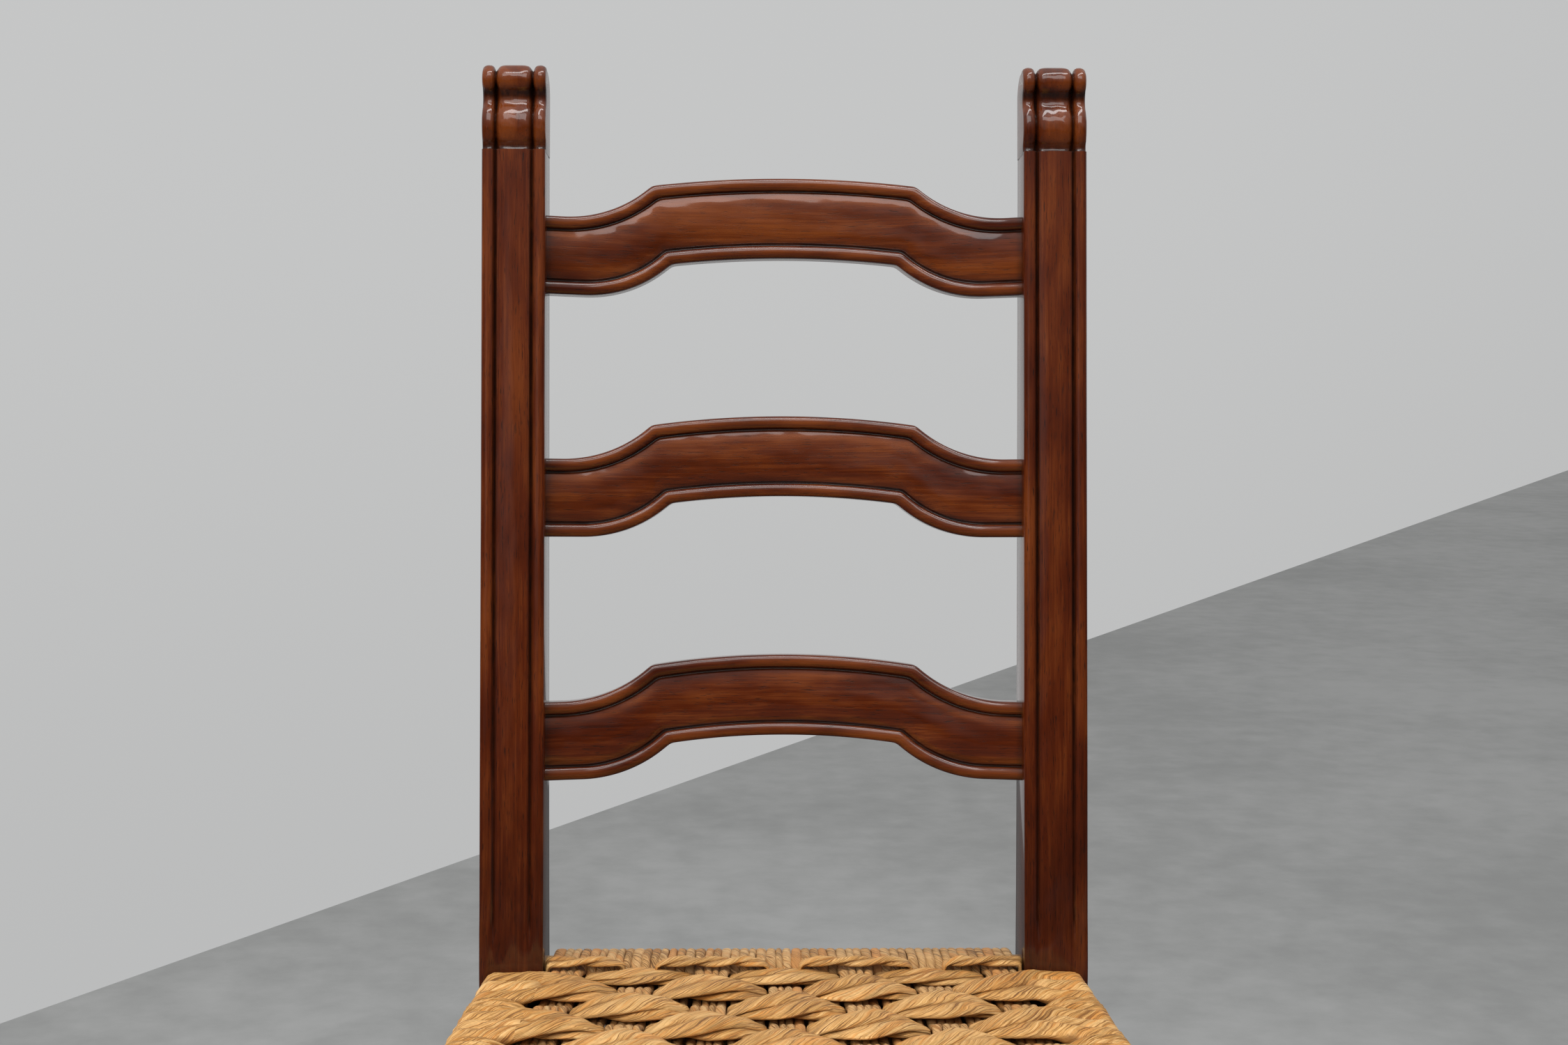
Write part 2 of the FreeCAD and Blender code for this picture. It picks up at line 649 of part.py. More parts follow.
class Row:
    """One weft row: its kind, its place and what it turns round at the sides."""

    def __init__(self, index):
        self.index = index
        self.kind = "outer" if index % 2 else "inner"
        self.rear_strand = index == 0
        self.front_strand = index == WEFT_ROWS + 1
        self.strand = self.rear_strand or self.front_strand
        self.between_uprights = index <= 1 or index >= WEFT_ROWS
        self.y = FIRST_ROW_Y - WEFT_PITCH * (index - 1)
        if self.rear_strand:
            self.y = FIELD_REAR + EDGE_STRAND_STANDOFF
        if self.front_strand:
            self.y = FIELD_FRONT - EDGE_STRAND_STANDOFF

    def span(self, half):
        """Front and rear edges of the row for a half width, kept inside the field."""
        if self.strand:
            return self.y - EDGE_STRAND_WIDTH / 2.0, self.y + EDGE_STRAND_WIDTH / 2.0
        low = max(self.y - half, FIELD_FRONT + WEFT_BED)
        high = min(self.y + half, FIELD_REAR - WEFT_BED)
        return low, high

    def slot_span(self):
        """Edges of the row beside an upright, clear of the first row that wraps a rail."""
        low, high = self.span(WEFT_NECK_WIDTH / 2.0)
        if self.index == 1:
            low = POST_FRONT - END_WRAP_GAP + WEAVE_CLEARANCE
        if self.index == WEFT_ROWS:
            high = LEG_BACK + END_WRAP_GAP - WEAVE_CLEARANCE
        return low, high

    def wrap_span(self):
        """Edges of the row where it wraps a side rail: narrow and wide rows take turns."""
        wide = WEFT_PITCH - NARROW_WRAP / 2.0
        half = NARROW_WRAP / 2.0 if self.kind == "outer" else wide
        low, high = self.y - half, self.y + half
        if self.index == 2:
            high = POST_FRONT - END_WRAP_GAP
        if self.index == WEFT_ROWS - 1:
            low = LEG_BACK + END_WRAP_GAP
        return low + WEAVE_CLEARANCE, high - WEAVE_CLEARANCE

    def over(self, crown):
        """Upper and lower levels where the row lies over the warp."""
        if not self.strand:
            return OVER_LEVEL + crown, OVER_LEVEL
        slope = math.atan2(END_RAIL_TOP + CORD_LAY - FIELD_LEVEL, RAIL_SLOPE_RUN)
        rise = FIELD_LEVEL + WARP_THICKNESS / math.cos(slope) + 2.0 * WEAVE_CLEARANCE
        near = EDGE_STRAND_STANDOFF + EDGE_STRAND_WIDTH / 4.0
        far = EDGE_STRAND_STANDOFF + EDGE_STRAND_WIDTH / 2.0
        low = rise + near * math.tan(slope)
        middle = rise + far * math.tan(slope)
        return max(low + EDGE_STRAND_THICKNESS, 2.0 * middle - low), low


def bundle(outer, inner, span):
    """Section of a weft: a flattened pentagon, broad outside and keeled inside."""
    low, high = span
    centre = (low + high) / 2.0
    half = (high - low) / 2.0

    def point(y, share):
        ox, oz = outer[0](y), outer[1]
        ix, iz = inner[0](y), inner[1]
        return Vector(ox + (ix - ox) * share, y, oz + (iz - oz) * share)

    return [point(centre - half, 0.5), point(centre - half / 2.0, 0.0),
            point(centre + half / 2.0, 0.0), point(centre + half, 0.5), point(centre, 1.0)]


def fan(place, shift=0.0):
    """X along a line that fans out with the warp, as a function of depth."""
    return lambda y: place * pitch_at(y) + shift


def along_rail(side, shift):
    """X along a side rail, as a function of depth."""
    return lambda y: side * (side_x(SIDE_RAIL_X, y) + shift)


def beside_upright(side, row, shift):
    """X in the slot between the outermost warp and the upright next to it."""
    inner = POST_INNER_X if row.index <= 1 else LEG_INNER_X
    return lambda y: side * (inner - shift)


def dip(row, group):
    """Sections where a row dives under one group and comes up beyond it."""
    half_pass = WEFT_PASS / 2.0
    start = group - WARP_GROUPS / 2.0
    end = start + 1.0
    over = row.over(WEFT_LIP)[1]
    neck = row.span(WEFT_NECK_WIDTH / 2.0)
    lip = over + WEFT_LIP
    low = UNDER_LEVEL - WEFT_PINCH
    high_in = bundle((fan(start, half_pass), lip), (fan(start, -half_pass), over), neck)
    low_in = bundle((fan(start, half_pass), UNDER_LEVEL), (fan(start, -half_pass), low), neck)
    low_out = bundle((fan(end, -half_pass), UNDER_LEVEL), (fan(end, half_pass), low), neck)
    high_out = bundle((fan(end, -half_pass), lip), (fan(end, half_pass), over), neck)
    sections = [high_in, low_in, low_out, high_out]
    drop = 2 if row.between_uprights else 1
    if group == 0:
        sections = sections[drop:]
    if group == WARP_GROUPS - 1:
        sections = sections[:-drop]
    return sections


def float_over(row, group):
    """Section where a row lies over one group, widest where both neighbours dip."""
    neighbours = UNDER_GROUPS["inner" if row.kind == "outer" else "outer"]
    place = group - (WARP_GROUPS - 1) / 2.0
    wide = group in neighbours
    half = WEFT_PITCH - WEFT_NECK_WIDTH / 2.0 - WEFT_BED if wide else WEFT_PITCH / 2.0 - WEAVE_CLEARANCE
    top, low = row.over(WEFT_CROWN if wide else WEFT_SHOULDER)
    return bundle((fan(place), top), (fan(place), low), row.span(half))


def landing(row, side):
    """Section where a row that lies over the outermost group comes down onto its edge."""
    top, low = row.over(WEFT_SHOULDER)
    edge = side * WARP_GROUPS / 2.0
    return bundle((fan(edge), top), (fan(edge), low), row.wrap_span())


def side_turn(row, side):
    """Sections where a row turns down round a side rail, or beside an upright, to the belly."""
    belly = BELLY_LEVEL - WEFT_WRAP
    if row.between_uprights:
        span = row.slot_span()
        near = SLOT_STRAND + WEFT_BED
        if row.kind == "outer":
            top, low = UNDER_LEVEL, UNDER_LEVEL - WEFT_PINCH
        else:
            top, low = row.over(WEFT_SHOULDER)
        return [bundle((beside_upright(side, row, WEFT_BED), top),
                        (beside_upright(side, row, near), low), span),
                bundle((beside_upright(side, row, WEFT_BED), belly),
                        (beside_upright(side, row, near), BELLY_LEVEL), span)]
    span = row.wrap_span()
    half = SIDE_RAIL_THICKNESS / 2.0
    face = half + WEAVE_CLEARANCE
    ease = RAIL_EASE
    bottom = SIDE_RAIL_TOP - RAIL_HEIGHT
    crown = LAP_LEVEL + WEFT_WRAP
    flank = face + WEFT_WRAP
    return [bundle((along_rail(side, ease - half), crown),
                    (along_rail(side, ease - half), LAP_LEVEL), span),
            bundle((along_rail(side, half - ease), crown),
                    (along_rail(side, half - ease), LAP_LEVEL), span),
            bundle((along_rail(side, flank), SIDE_RAIL_TOP - ease),
                    (along_rail(side, face), SIDE_RAIL_TOP - ease), span),
            bundle((along_rail(side, flank), bottom + ease),
                    (along_rail(side, face), bottom + ease), span),
            bundle((along_rail(side, half - ease), belly),
                    (along_rail(side, half - ease), BELLY_LEVEL), span)]


def weft_row(index):
    """One weft, woven over three groups and under one, and wrapped round the side rails."""
    row = Row(index)
    under = UNDER_GROUPS[row.kind]
    lands = row.kind == "inner" and not row.between_uprights
    sections = [landing(row, -1.0)] if lands else []
    for group in range(WARP_GROUPS):
        if group in under:
            sections += dip(row, group)
        else:
            sections.append(float_over(row, group))
    sections += [landing(row, 1.0)] if lands else []
    sections += side_turn(row, 1.0)
    sections += list(reversed(side_turn(row, -1.0)))
    return faceted_loop(sections)


# Assembly

def rail_joints(room, end_room):
    """Tenons of every member that meets the uprights, or with room their mortises."""
    end_bottom = END_RAIL_TOP - RAIL_HEIGHT
    side_bottom = SIDE_RAIL_TOP - RAIL_HEIGHT
    joints = {
        "seat_rail_rear": cross_tenons(POST_INNER_X, REAR_RAIL_Y, end_bottom, RAIL_HEIGHT,
                                       room, end_room),
        "seat_rail_front": cross_tenons(LEG_INNER_X, FRONT_RAIL_Y, end_bottom, RAIL_HEIGHT,
                                        room, end_room),
        "stretcher_rear": cross_tenons(POST_INNER_X, REAR_STRETCHER_Y, REAR_STRETCHER_LEVEL,
                                       STRETCHER_HEIGHT, room, end_room),
        "stretcher_front": cross_tenons(LEG_INNER_X, FRONT_STRETCHER_Y, FRONT_STRETCHER_LEVEL,
                                        SLAT_HEIGHT, room, end_room),
        "seat_rail_side": side_tenons(SIDE_RAIL_X, side_bottom, RAIL_HEIGHT, room, end_room),
    }
    for name, level in SIDE_STRETCHERS.items():
        joints[name] = side_tenons(POST_CENTRE_X, level, STRETCHER_HEIGHT, room, end_room)
    return joints


def main():
    os.makedirs("parts", exist_ok=True)
    nodes = {}
    tenons = rail_joints(0.0, 0.0)
    mortises = rail_joints(FIT, MORTISE_END)

    post_cuts = []
    for index in range(SLAT_COUNT):
        board, ends = slat(index)
        nodes["slat_%d" % (index + 1)] = lean(joined(board, ends))
        holes = slat_tenons(SLAT_FIRST + SLAT_PITCH * index, FIT, MORTISE_END)
        post_cuts.append(lean(holes[1]))
    post_cuts += [mortises["seat_rail_rear"][1], mortises["stretcher_rear"][1],
                  mortises["seat_rail_side"][0]]
    post_cuts += [mortises[name][0] for name in SIDE_STRETCHERS]
    post = rear_post()
    post.translate(Vector(POST_CENTRE_X, 0, 0))
    post = mortised(post, post_cuts)

    leg_cuts = [mortises["seat_rail_front"][1], mortises["stretcher_front"][1],
                mortises["seat_rail_side"][1]]
    leg_cuts += [mortises[name][1] for name in SIDE_STRETCHERS]
    leg = front_leg()
    leg.translate(Vector(LEG_CENTRE_X, 0, 0))
    leg = mortised(leg, leg_cuts)

    end_bottom = END_RAIL_TOP - RAIL_HEIGHT
    rear_rail = cross_member(POST_INNER_X, REAR_RAIL_Y, END_RAIL_THICKNESS, end_bottom,
                             RAIL_HEIGHT, RAIL_EASE)
    front_rail = cross_member(LEG_INNER_X, FRONT_RAIL_Y, END_RAIL_THICKNESS, end_bottom,
                              RAIL_HEIGHT, RAIL_EASE)
    rear_stretcher = cross_member(POST_INNER_X, REAR_STRETCHER_Y, STRETCHER_THICKNESS,
                                  REAR_STRETCHER_LEVEL, STRETCHER_HEIGHT, STRETCHER_EASE)
    front_stretcher = moulded_board(LEG_INNER_X, FRONT_STRETCHER_LEVEL, 0.0)
    front_stretcher.translate(Vector(0, FRONT_STRETCHER_Y - SLAT_THICKNESS / 2.0, 0))
    nodes["seat_rail_rear"] = joined(rear_rail, tenons["seat_rail_rear"])
    nodes["seat_rail_front"] = joined(front_rail, tenons["seat_rail_front"])
    nodes["stretcher_rear"] = joined(rear_stretcher, tenons["stretcher_rear"])
    nodes["stretcher_front"] = joined(front_stretcher, tenons["stretcher_front"])

    right = {"rear_post": post, "front_leg": leg}
    side_rail = side_member(SIDE_RAIL_X, SIDE_RAIL_THICKNESS, SIDE_RAIL_TOP - RAIL_HEIGHT,
                            RAIL_HEIGHT, RAIL_EASE)
    right["seat_rail_side"] = joined(side_rail, tenons["seat_rail_side"])
    for name, level in SIDE_STRETCHERS.items():
        bar = side_member(POST_CENTRE_X, STRETCHER_THICKNESS, level, STRETCHER_HEIGHT,
                          STRETCHER_EASE)
        right[name] = joined(bar, tenons[name])
    for name, shape in right.items():
        nodes[name + "_right"] = shape
        nodes[name + "_left"] = mirrored(shape)

    for index in range(WARP_GROUPS):
        nodes["warp_group_%02d" % (index + 1)] = warp_group(index)
    for index in range(WEFT_ROWS + 2):
        nodes["weft_row_%02d" % (index + 1)] = weft_row(index)

    whole = Part.makeCompound(list(nodes.values())).optimalBoundingBox(False, False)
    shift = Vector(-(whole.XMin + whole.XMax) / 2.0, -(whole.YMin + whole.YMax) / 2.0, -whole.ZMin)
    for name, shape in nodes.items():
        shape.translate(shift)
        shape.exportStep("parts/%s.step" % name)
    print("nodes", len(nodes), "size", whole.XLength, whole.YLength, whole.ZLength,
          "shift", shift)


if __name__ == "__main__":
    main()
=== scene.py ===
"""Looks of a ladderback chair with carved posts, moulded slats and a woven rush seat.

Sizes in the classes are in millimetres in the chair's drawing frame: X to the right as
seen from the front, Y backwards from the front face of the rear posts, Z up from the
floor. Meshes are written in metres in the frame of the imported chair.
"""

import logging
import math
from dataclasses import dataclass, field
from enum import Enum

import bmesh
import bpy
import numpy as np
from mathutils import Matrix, Vector


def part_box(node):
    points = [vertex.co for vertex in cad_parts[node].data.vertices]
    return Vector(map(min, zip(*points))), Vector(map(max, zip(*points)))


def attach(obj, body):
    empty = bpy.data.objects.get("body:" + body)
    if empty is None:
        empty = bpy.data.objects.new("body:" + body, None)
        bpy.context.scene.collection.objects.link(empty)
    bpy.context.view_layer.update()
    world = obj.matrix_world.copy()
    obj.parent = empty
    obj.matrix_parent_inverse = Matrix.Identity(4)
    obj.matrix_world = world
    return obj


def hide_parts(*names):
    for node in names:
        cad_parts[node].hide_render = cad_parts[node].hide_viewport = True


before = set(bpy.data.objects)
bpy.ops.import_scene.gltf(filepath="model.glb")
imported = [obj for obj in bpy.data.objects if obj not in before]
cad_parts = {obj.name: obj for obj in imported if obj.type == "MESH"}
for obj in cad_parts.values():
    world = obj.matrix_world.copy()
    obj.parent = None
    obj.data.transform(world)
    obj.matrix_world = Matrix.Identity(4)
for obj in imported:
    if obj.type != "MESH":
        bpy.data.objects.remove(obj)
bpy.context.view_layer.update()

LOG = logging.getLogger("chair")
MM = 0.001
SHIFT_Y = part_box("rear_post_left")[0].y
BODY = "root"
FULL_TURN = 6.28
GIRTH_UV = 0.16
GRAIN_SHIFT = 0.37
SLAT_GRAIN_SHIFT = 0.23
PLANE_WAVE = 14.0
PLANE_DEPTH = 0.05
PLANE_SCALE = (1.0, 1.0, 0.35)
SLATS = 3
SLAT_FIRST = 135.3
SLAT_PITCH = 174.0
SLAT_BOW = 32.0
SLAT_SETBACK = 13.0
STRETCHER_BASE = 245.0
STRETCHER_SETBACK = 10.0

Array = np.ndarray


class Slot(Enum):
    """Names of material slots."""

    POST = "post_wood"
    SLAT = "slat_wood"
    STRETCHER = "stretcher_wood"
    WARP = "warp_cord"
    WEFT = "weft_straw"


class Grain(Enum):
    """Where a wood finish reads the direction of the grain."""

    OWN = "own"
    ALONG_X = "x"
    ALONG_Y = "y"


def smoothstep(value: Array, start: float, end: float) -> Array:
    """Rise smoothly from 0 at start to 1 at end.

    Args:
        value: Numbers to map.
        start: Where the rise starts.
        end: Where the rise ends.

    Returns:
        The eased share, 3 t^2 - 2 t^3.
    """
    t = np.clip((np.asarray(value, float) - start) / (end - start), 0.0, 1.0)
    return t * t * (3.0 - 2.0 * t)


def quarter_round(share: Array) -> Array:
    """Drop of a quarter circle of unit radius at a share of its run, 1 - sqrt(1 - t^2)."""
    return 1.0 - np.sqrt(np.clip(1.0 - np.clip(share, 0.0, 1.0) ** 2, 0.0, 1.0))


def ripple(points: Array, wavelength: float, seed: int, waves: int = 7) -> Array:
    """Smooth random field: the mean of plane waves with seeded directions and phases.

    Args:
        points: Places, with coordinates in the last axis.
        wavelength: Typical distance between crests, in the unit of the points.
        seed: Seed of the directions and phases.
        waves: How many waves are added.

    Returns:
        Values of about unit spread.
    """
    rng = np.random.default_rng(seed)
    directions = rng.normal(size=(waves, points.shape[-1]))
    directions /= np.linalg.norm(directions, axis=1, keepdims=True)
    rates = math.tau / wavelength * rng.uniform(0.6, 1.6, waves)
    phases = rng.uniform(0.0, math.tau, waves)
    angles = points @ (directions * rates[:, None]).T + phases
    return np.sin(angles).sum(axis=-1) / math.sqrt(waves / 2.0)


def arc_points(a: tuple, b: tuple, c: tuple, count: int) -> Array:
    """Points on the circle through three points of a plane, from the first to the last.

    Args:
        a: First point.
        b: A point between.
        c: Last point.
        count: Number of points, both ends counted.

    Returns:
        An array of count rows.
    """
    ax, ay = a
    bx, by = b
    cx, cy = c
    d = 2.0 * (ax * (by - cy) + bx * (cy - ay) + cx * (ay - by))
    aa, bb, cc = ax**2 + ay**2, bx**2 + by**2, cx**2 + cy**2
    ux = (aa * (by - cy) + bb * (cy - ay) + cc * (ay - by)) / d
    uy = (aa * (cx - bx) + bb * (ax - cx) + cc * (bx - ax)) / d
    radius = math.hypot(ax - ux, ay - uy)
    start = math.atan2(ay - uy, ax - ux)
    middle = (math.atan2(by - uy, bx - ux) - start) % math.tau
    end = (math.atan2(cy - uy, cx - ux) - start) % math.tau
    if middle > end:
        end -= math.tau
    angles = start + np.linspace(0.0, end, count)
    return np.stack([ux + radius * np.cos(angles), uy + radius * np.sin(angles)], axis=1)


def resample(line: Array, count: int) -> Array:
    """Points at even distances along a polyline.

    Args:
        line: Points of the polyline.
        count: Number of points wanted.

    Returns:
        An array of count rows from the first point to the last.
    """
    steps = np.linalg.norm(np.diff(line, axis=0), axis=1)
    along = np.concatenate([[0.0], np.cumsum(steps)])
    wanted = np.linspace(0.0, along[-1], count)
    return np.stack([np.interp(wanted, along, line[:, k]) for k in range(line.shape[1])], axis=1)


def normals_of(line: Array, turn: float) -> Array:
    """Unit normals of a plane polyline, its tangents turned by a quarter turn.

    Args:
        line: Points of the polyline.
        turn: 1 for a quarter turn anticlockwise, -1 for clockwise.

    Returns:
        One unit vector a point.
    """
    tangent = np.gradient(line, axis=0)
    tangent /= np.linalg.norm(tangent, axis=1, keepdims=True)
    return turn * np.stack([-tangent[:, 1], tangent[:, 0]], axis=1)


def lean(points: Array, degrees: float, pivot_z: float) -> Array:
    """Turn points backwards about the level line through the seat's knee.

    Args:
        points: Places in the drawing frame, as if the back stood upright.
        degrees: Rake of the back.
        pivot_z: Height of the knee.

    Returns:
        The turned places.
    """
    a = math.radians(degrees)
    out = points.copy()
    rise = points[..., 2] - pivot_z
    out[..., 1] = points[..., 1] * math.cos(a) + rise * math.sin(a)
    out[..., 2] = pivot_z - points[..., 1] * math.sin(a) + rise * math.cos(a)
    return out


def linked(name: str, data: bpy.types.ID) -> bpy.types.Object:
    """Make an object and link it to the scene.

    Args:
        name: Name of the object.
        data: Its mesh, camera or lamp.

    Returns:
        The object.
    """
    made = bpy.data.objects.new(name, data)
    bpy.context.scene.collection.objects.link(made)
    return made


class MeshBook:
    """Collects closed grids of points into one mesh, with corner UVs and point values."""

    def __init__(self) -> None:
        """Start an empty book."""
        self.points: list[Array] = []
        self.quads: list[Array] = []
        self.corners: list[Array] = []
        self.caps: list[Array] = []
        self.values: dict[str, list[Array]] = {}
        self.count = 0

    def add(self, grid: Array, u: Array, v: Array, loop: bool = False, **values: Array) -> None:
        """Add one tube of rings, turned so that its faces point outwards.

        Args:
            grid: Points in mm, stations by ring by 3. Rings close on themselves.
            u: UV coordinate round the ring, one more than its points.
            v: UV coordinate along the tube, one more than its stations where it loops.
            loop: Whether the last ring joins the first. Otherwise both ends get a cap.
            values: Named point values of shape stations by ring, or with a last axis of 3.
        """
        m, n = grid.shape[:2]
        rows = np.arange(m if loop else m - 1)
        i, j = np.meshgrid(rows, np.arange(n), indexing="ij")
        near, far = i % m, (i + 1) % m
        left, right = j, (j + 1) % n
        quads = np.stack([near * n + left, near * n + right, far * n + right, far * n + left], -1)
        uv = np.stack([np.stack([u[j], v[i]], -1), np.stack([u[j + 1], v[i]], -1),
                       np.stack([u[j + 1], v[i + 1]], -1), np.stack([u[j], v[i + 1]], -1)], 2)
        quads = quads.reshape(-1, 4)
        uv = uv.reshape(-1, 4, 2)
        flat = grid.reshape(-1, 3)
        caps = [] if loop else [np.arange(n)[::-1], (m - 1) * n + np.arange(n)]
        p = flat - flat.mean(axis=0)
        a, b, c, d = (p[quads[:, k]] for k in range(4))
        volume = np.einsum("ij,ij->i", a, np.cross(b, c) + np.cross(c, d)).sum()
        if volume < 0.0:
            quads = quads[:, ::-1]
            uv = uv[:, ::-1]
            caps = [cap[::-1] for cap in caps]
        self.points.append(flat)
        self.quads.append(quads + self.count)
        self.corners.append(uv)
        self.caps += [cap + self.count for cap in caps]
        for name, value in values.items():
            listed = value.reshape(-1, 3) if value.ndim == 3 else value.reshape(-1)
            self.values.setdefault(name, []).append(listed)
        self.count += len(flat)

    def build(self, name: str, weld: float = 0.0, sharp: float = 180.0) -> bpy.types.Object:
        """Write the mesh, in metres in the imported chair's frame.

        Args:
            name: Name of the object.
            weld: Distance in mm under which points are merged, or 0.
            sharp: Angle in degrees over which an edge is kept sharp.

        Returns:
            The new object, linked to the scene.
        """
        points = np.concatenate(self.points) * MM
        points[:, 1] += SHIFT_Y
        quads = np.concatenate(self.quads)
        loops = np.concatenate([quads.reshape(-1)] + self.caps)
        sides = [len(cap) for cap in self.caps]
        totals = np.concatenate([np.full(len(quads), 4), sides]).astype(np.int32)
        starts = np.concatenate([[0], np.cumsum(totals)[:-1]]).astype(np.int32)
        mesh = bpy.data.meshes.new(name)
        mesh.vertices.add(len(points))
        mesh.vertices.foreach_set("co", points.astype(np.float32).reshape(-1))
        mesh.loops.add(len(loops))
        mesh.loops.foreach_set("vertex_index", loops.astype(np.int32))
        mesh.polygons.add(len(totals))
        mesh.polygons.foreach_set("loop_start", starts)
        uv = np.zeros((len(loops), 2), np.float32)
        corners = np.concatenate(self.corners).reshape(-1, 2)
        uv[:len(corners)] = corners
        mesh.uv_layers.new(name="lay").data.foreach_set("uv", uv.reshape(-1))
        for key, parts in self.values.items():
            value = np.concatenate(parts).astype(np.float32)
            kind, slot = ("FLOAT_VECTOR", "vector") if value.ndim == 2 else ("FLOAT", "value")
            mesh.attributes.new(key, kind, "POINT").data.foreach_set(slot, value.reshape(-1))
        mesh.update(calc_edges=True)
        mesh.validate()
        if weld > 0.0:
            shell = bmesh.new()
            shell.from_mesh(mesh)
            bmesh.ops.remove_doubles(shell, verts=shell.verts, dist=weld * MM)
            bmesh.ops.dissolve_degenerate(shell, edges=shell.edges, dist=weld * MM * 0.5)
            shell.to_mesh(mesh)
            shell.free()
        mesh.polygons.foreach_set("use_smooth", np.ones(len(mesh.polygons), bool))
        if sharp < 180.0:
            mesh.set_sharp_from_angle(angle=math.radians(sharp))
        return linked(name, mesh)


class Wire:
    """A shader socket that can be used in sums, with numbers on either side."""

    def __init__(self, graph: "Graph", socket: bpy.types.NodeSocket) -> None:
        """Keep the socket and the graph that new nodes go into."""
        self.graph = graph
        self.socket = socket

    def _with(self, operation: str, first: object, second: object) -> "Wire":
        """Add one Math node."""
        node = self.graph.node("ShaderNodeMath", {"operation": operation}, {0: first, 1: second})
        return Wire(self.graph, node.outputs[0])

    def __add__(self, other: object) -> "Wire":
        """Sum."""
        return self._with("ADD", self, other)

    __radd__ = __add__

    def __sub__(self, other: object) -> "Wire":
        """Difference."""
        return self._with("SUBTRACT", self, other)

    def __rsub__(self, other: object) -> "Wire":
        """Difference from a number."""
        return self._with("SUBTRACT", other, self)

    def __mul__(self, other: object) -> "Wire":
        """Product."""
        return self._with("MULTIPLY", self, other)

    __rmul__ = __mul__

    def rise(self, start: float, end: float) -> "Wire":
        """Smooth step from 0 at start to 1 at end."""
        node = self.graph.node("ShaderNodeMapRange", {"interpolation_type": "SMOOTHSTEP"},
                               {"Value": self, "From Min": start, "From Max": end})
        return Wire(self.graph, node.outputs[0])


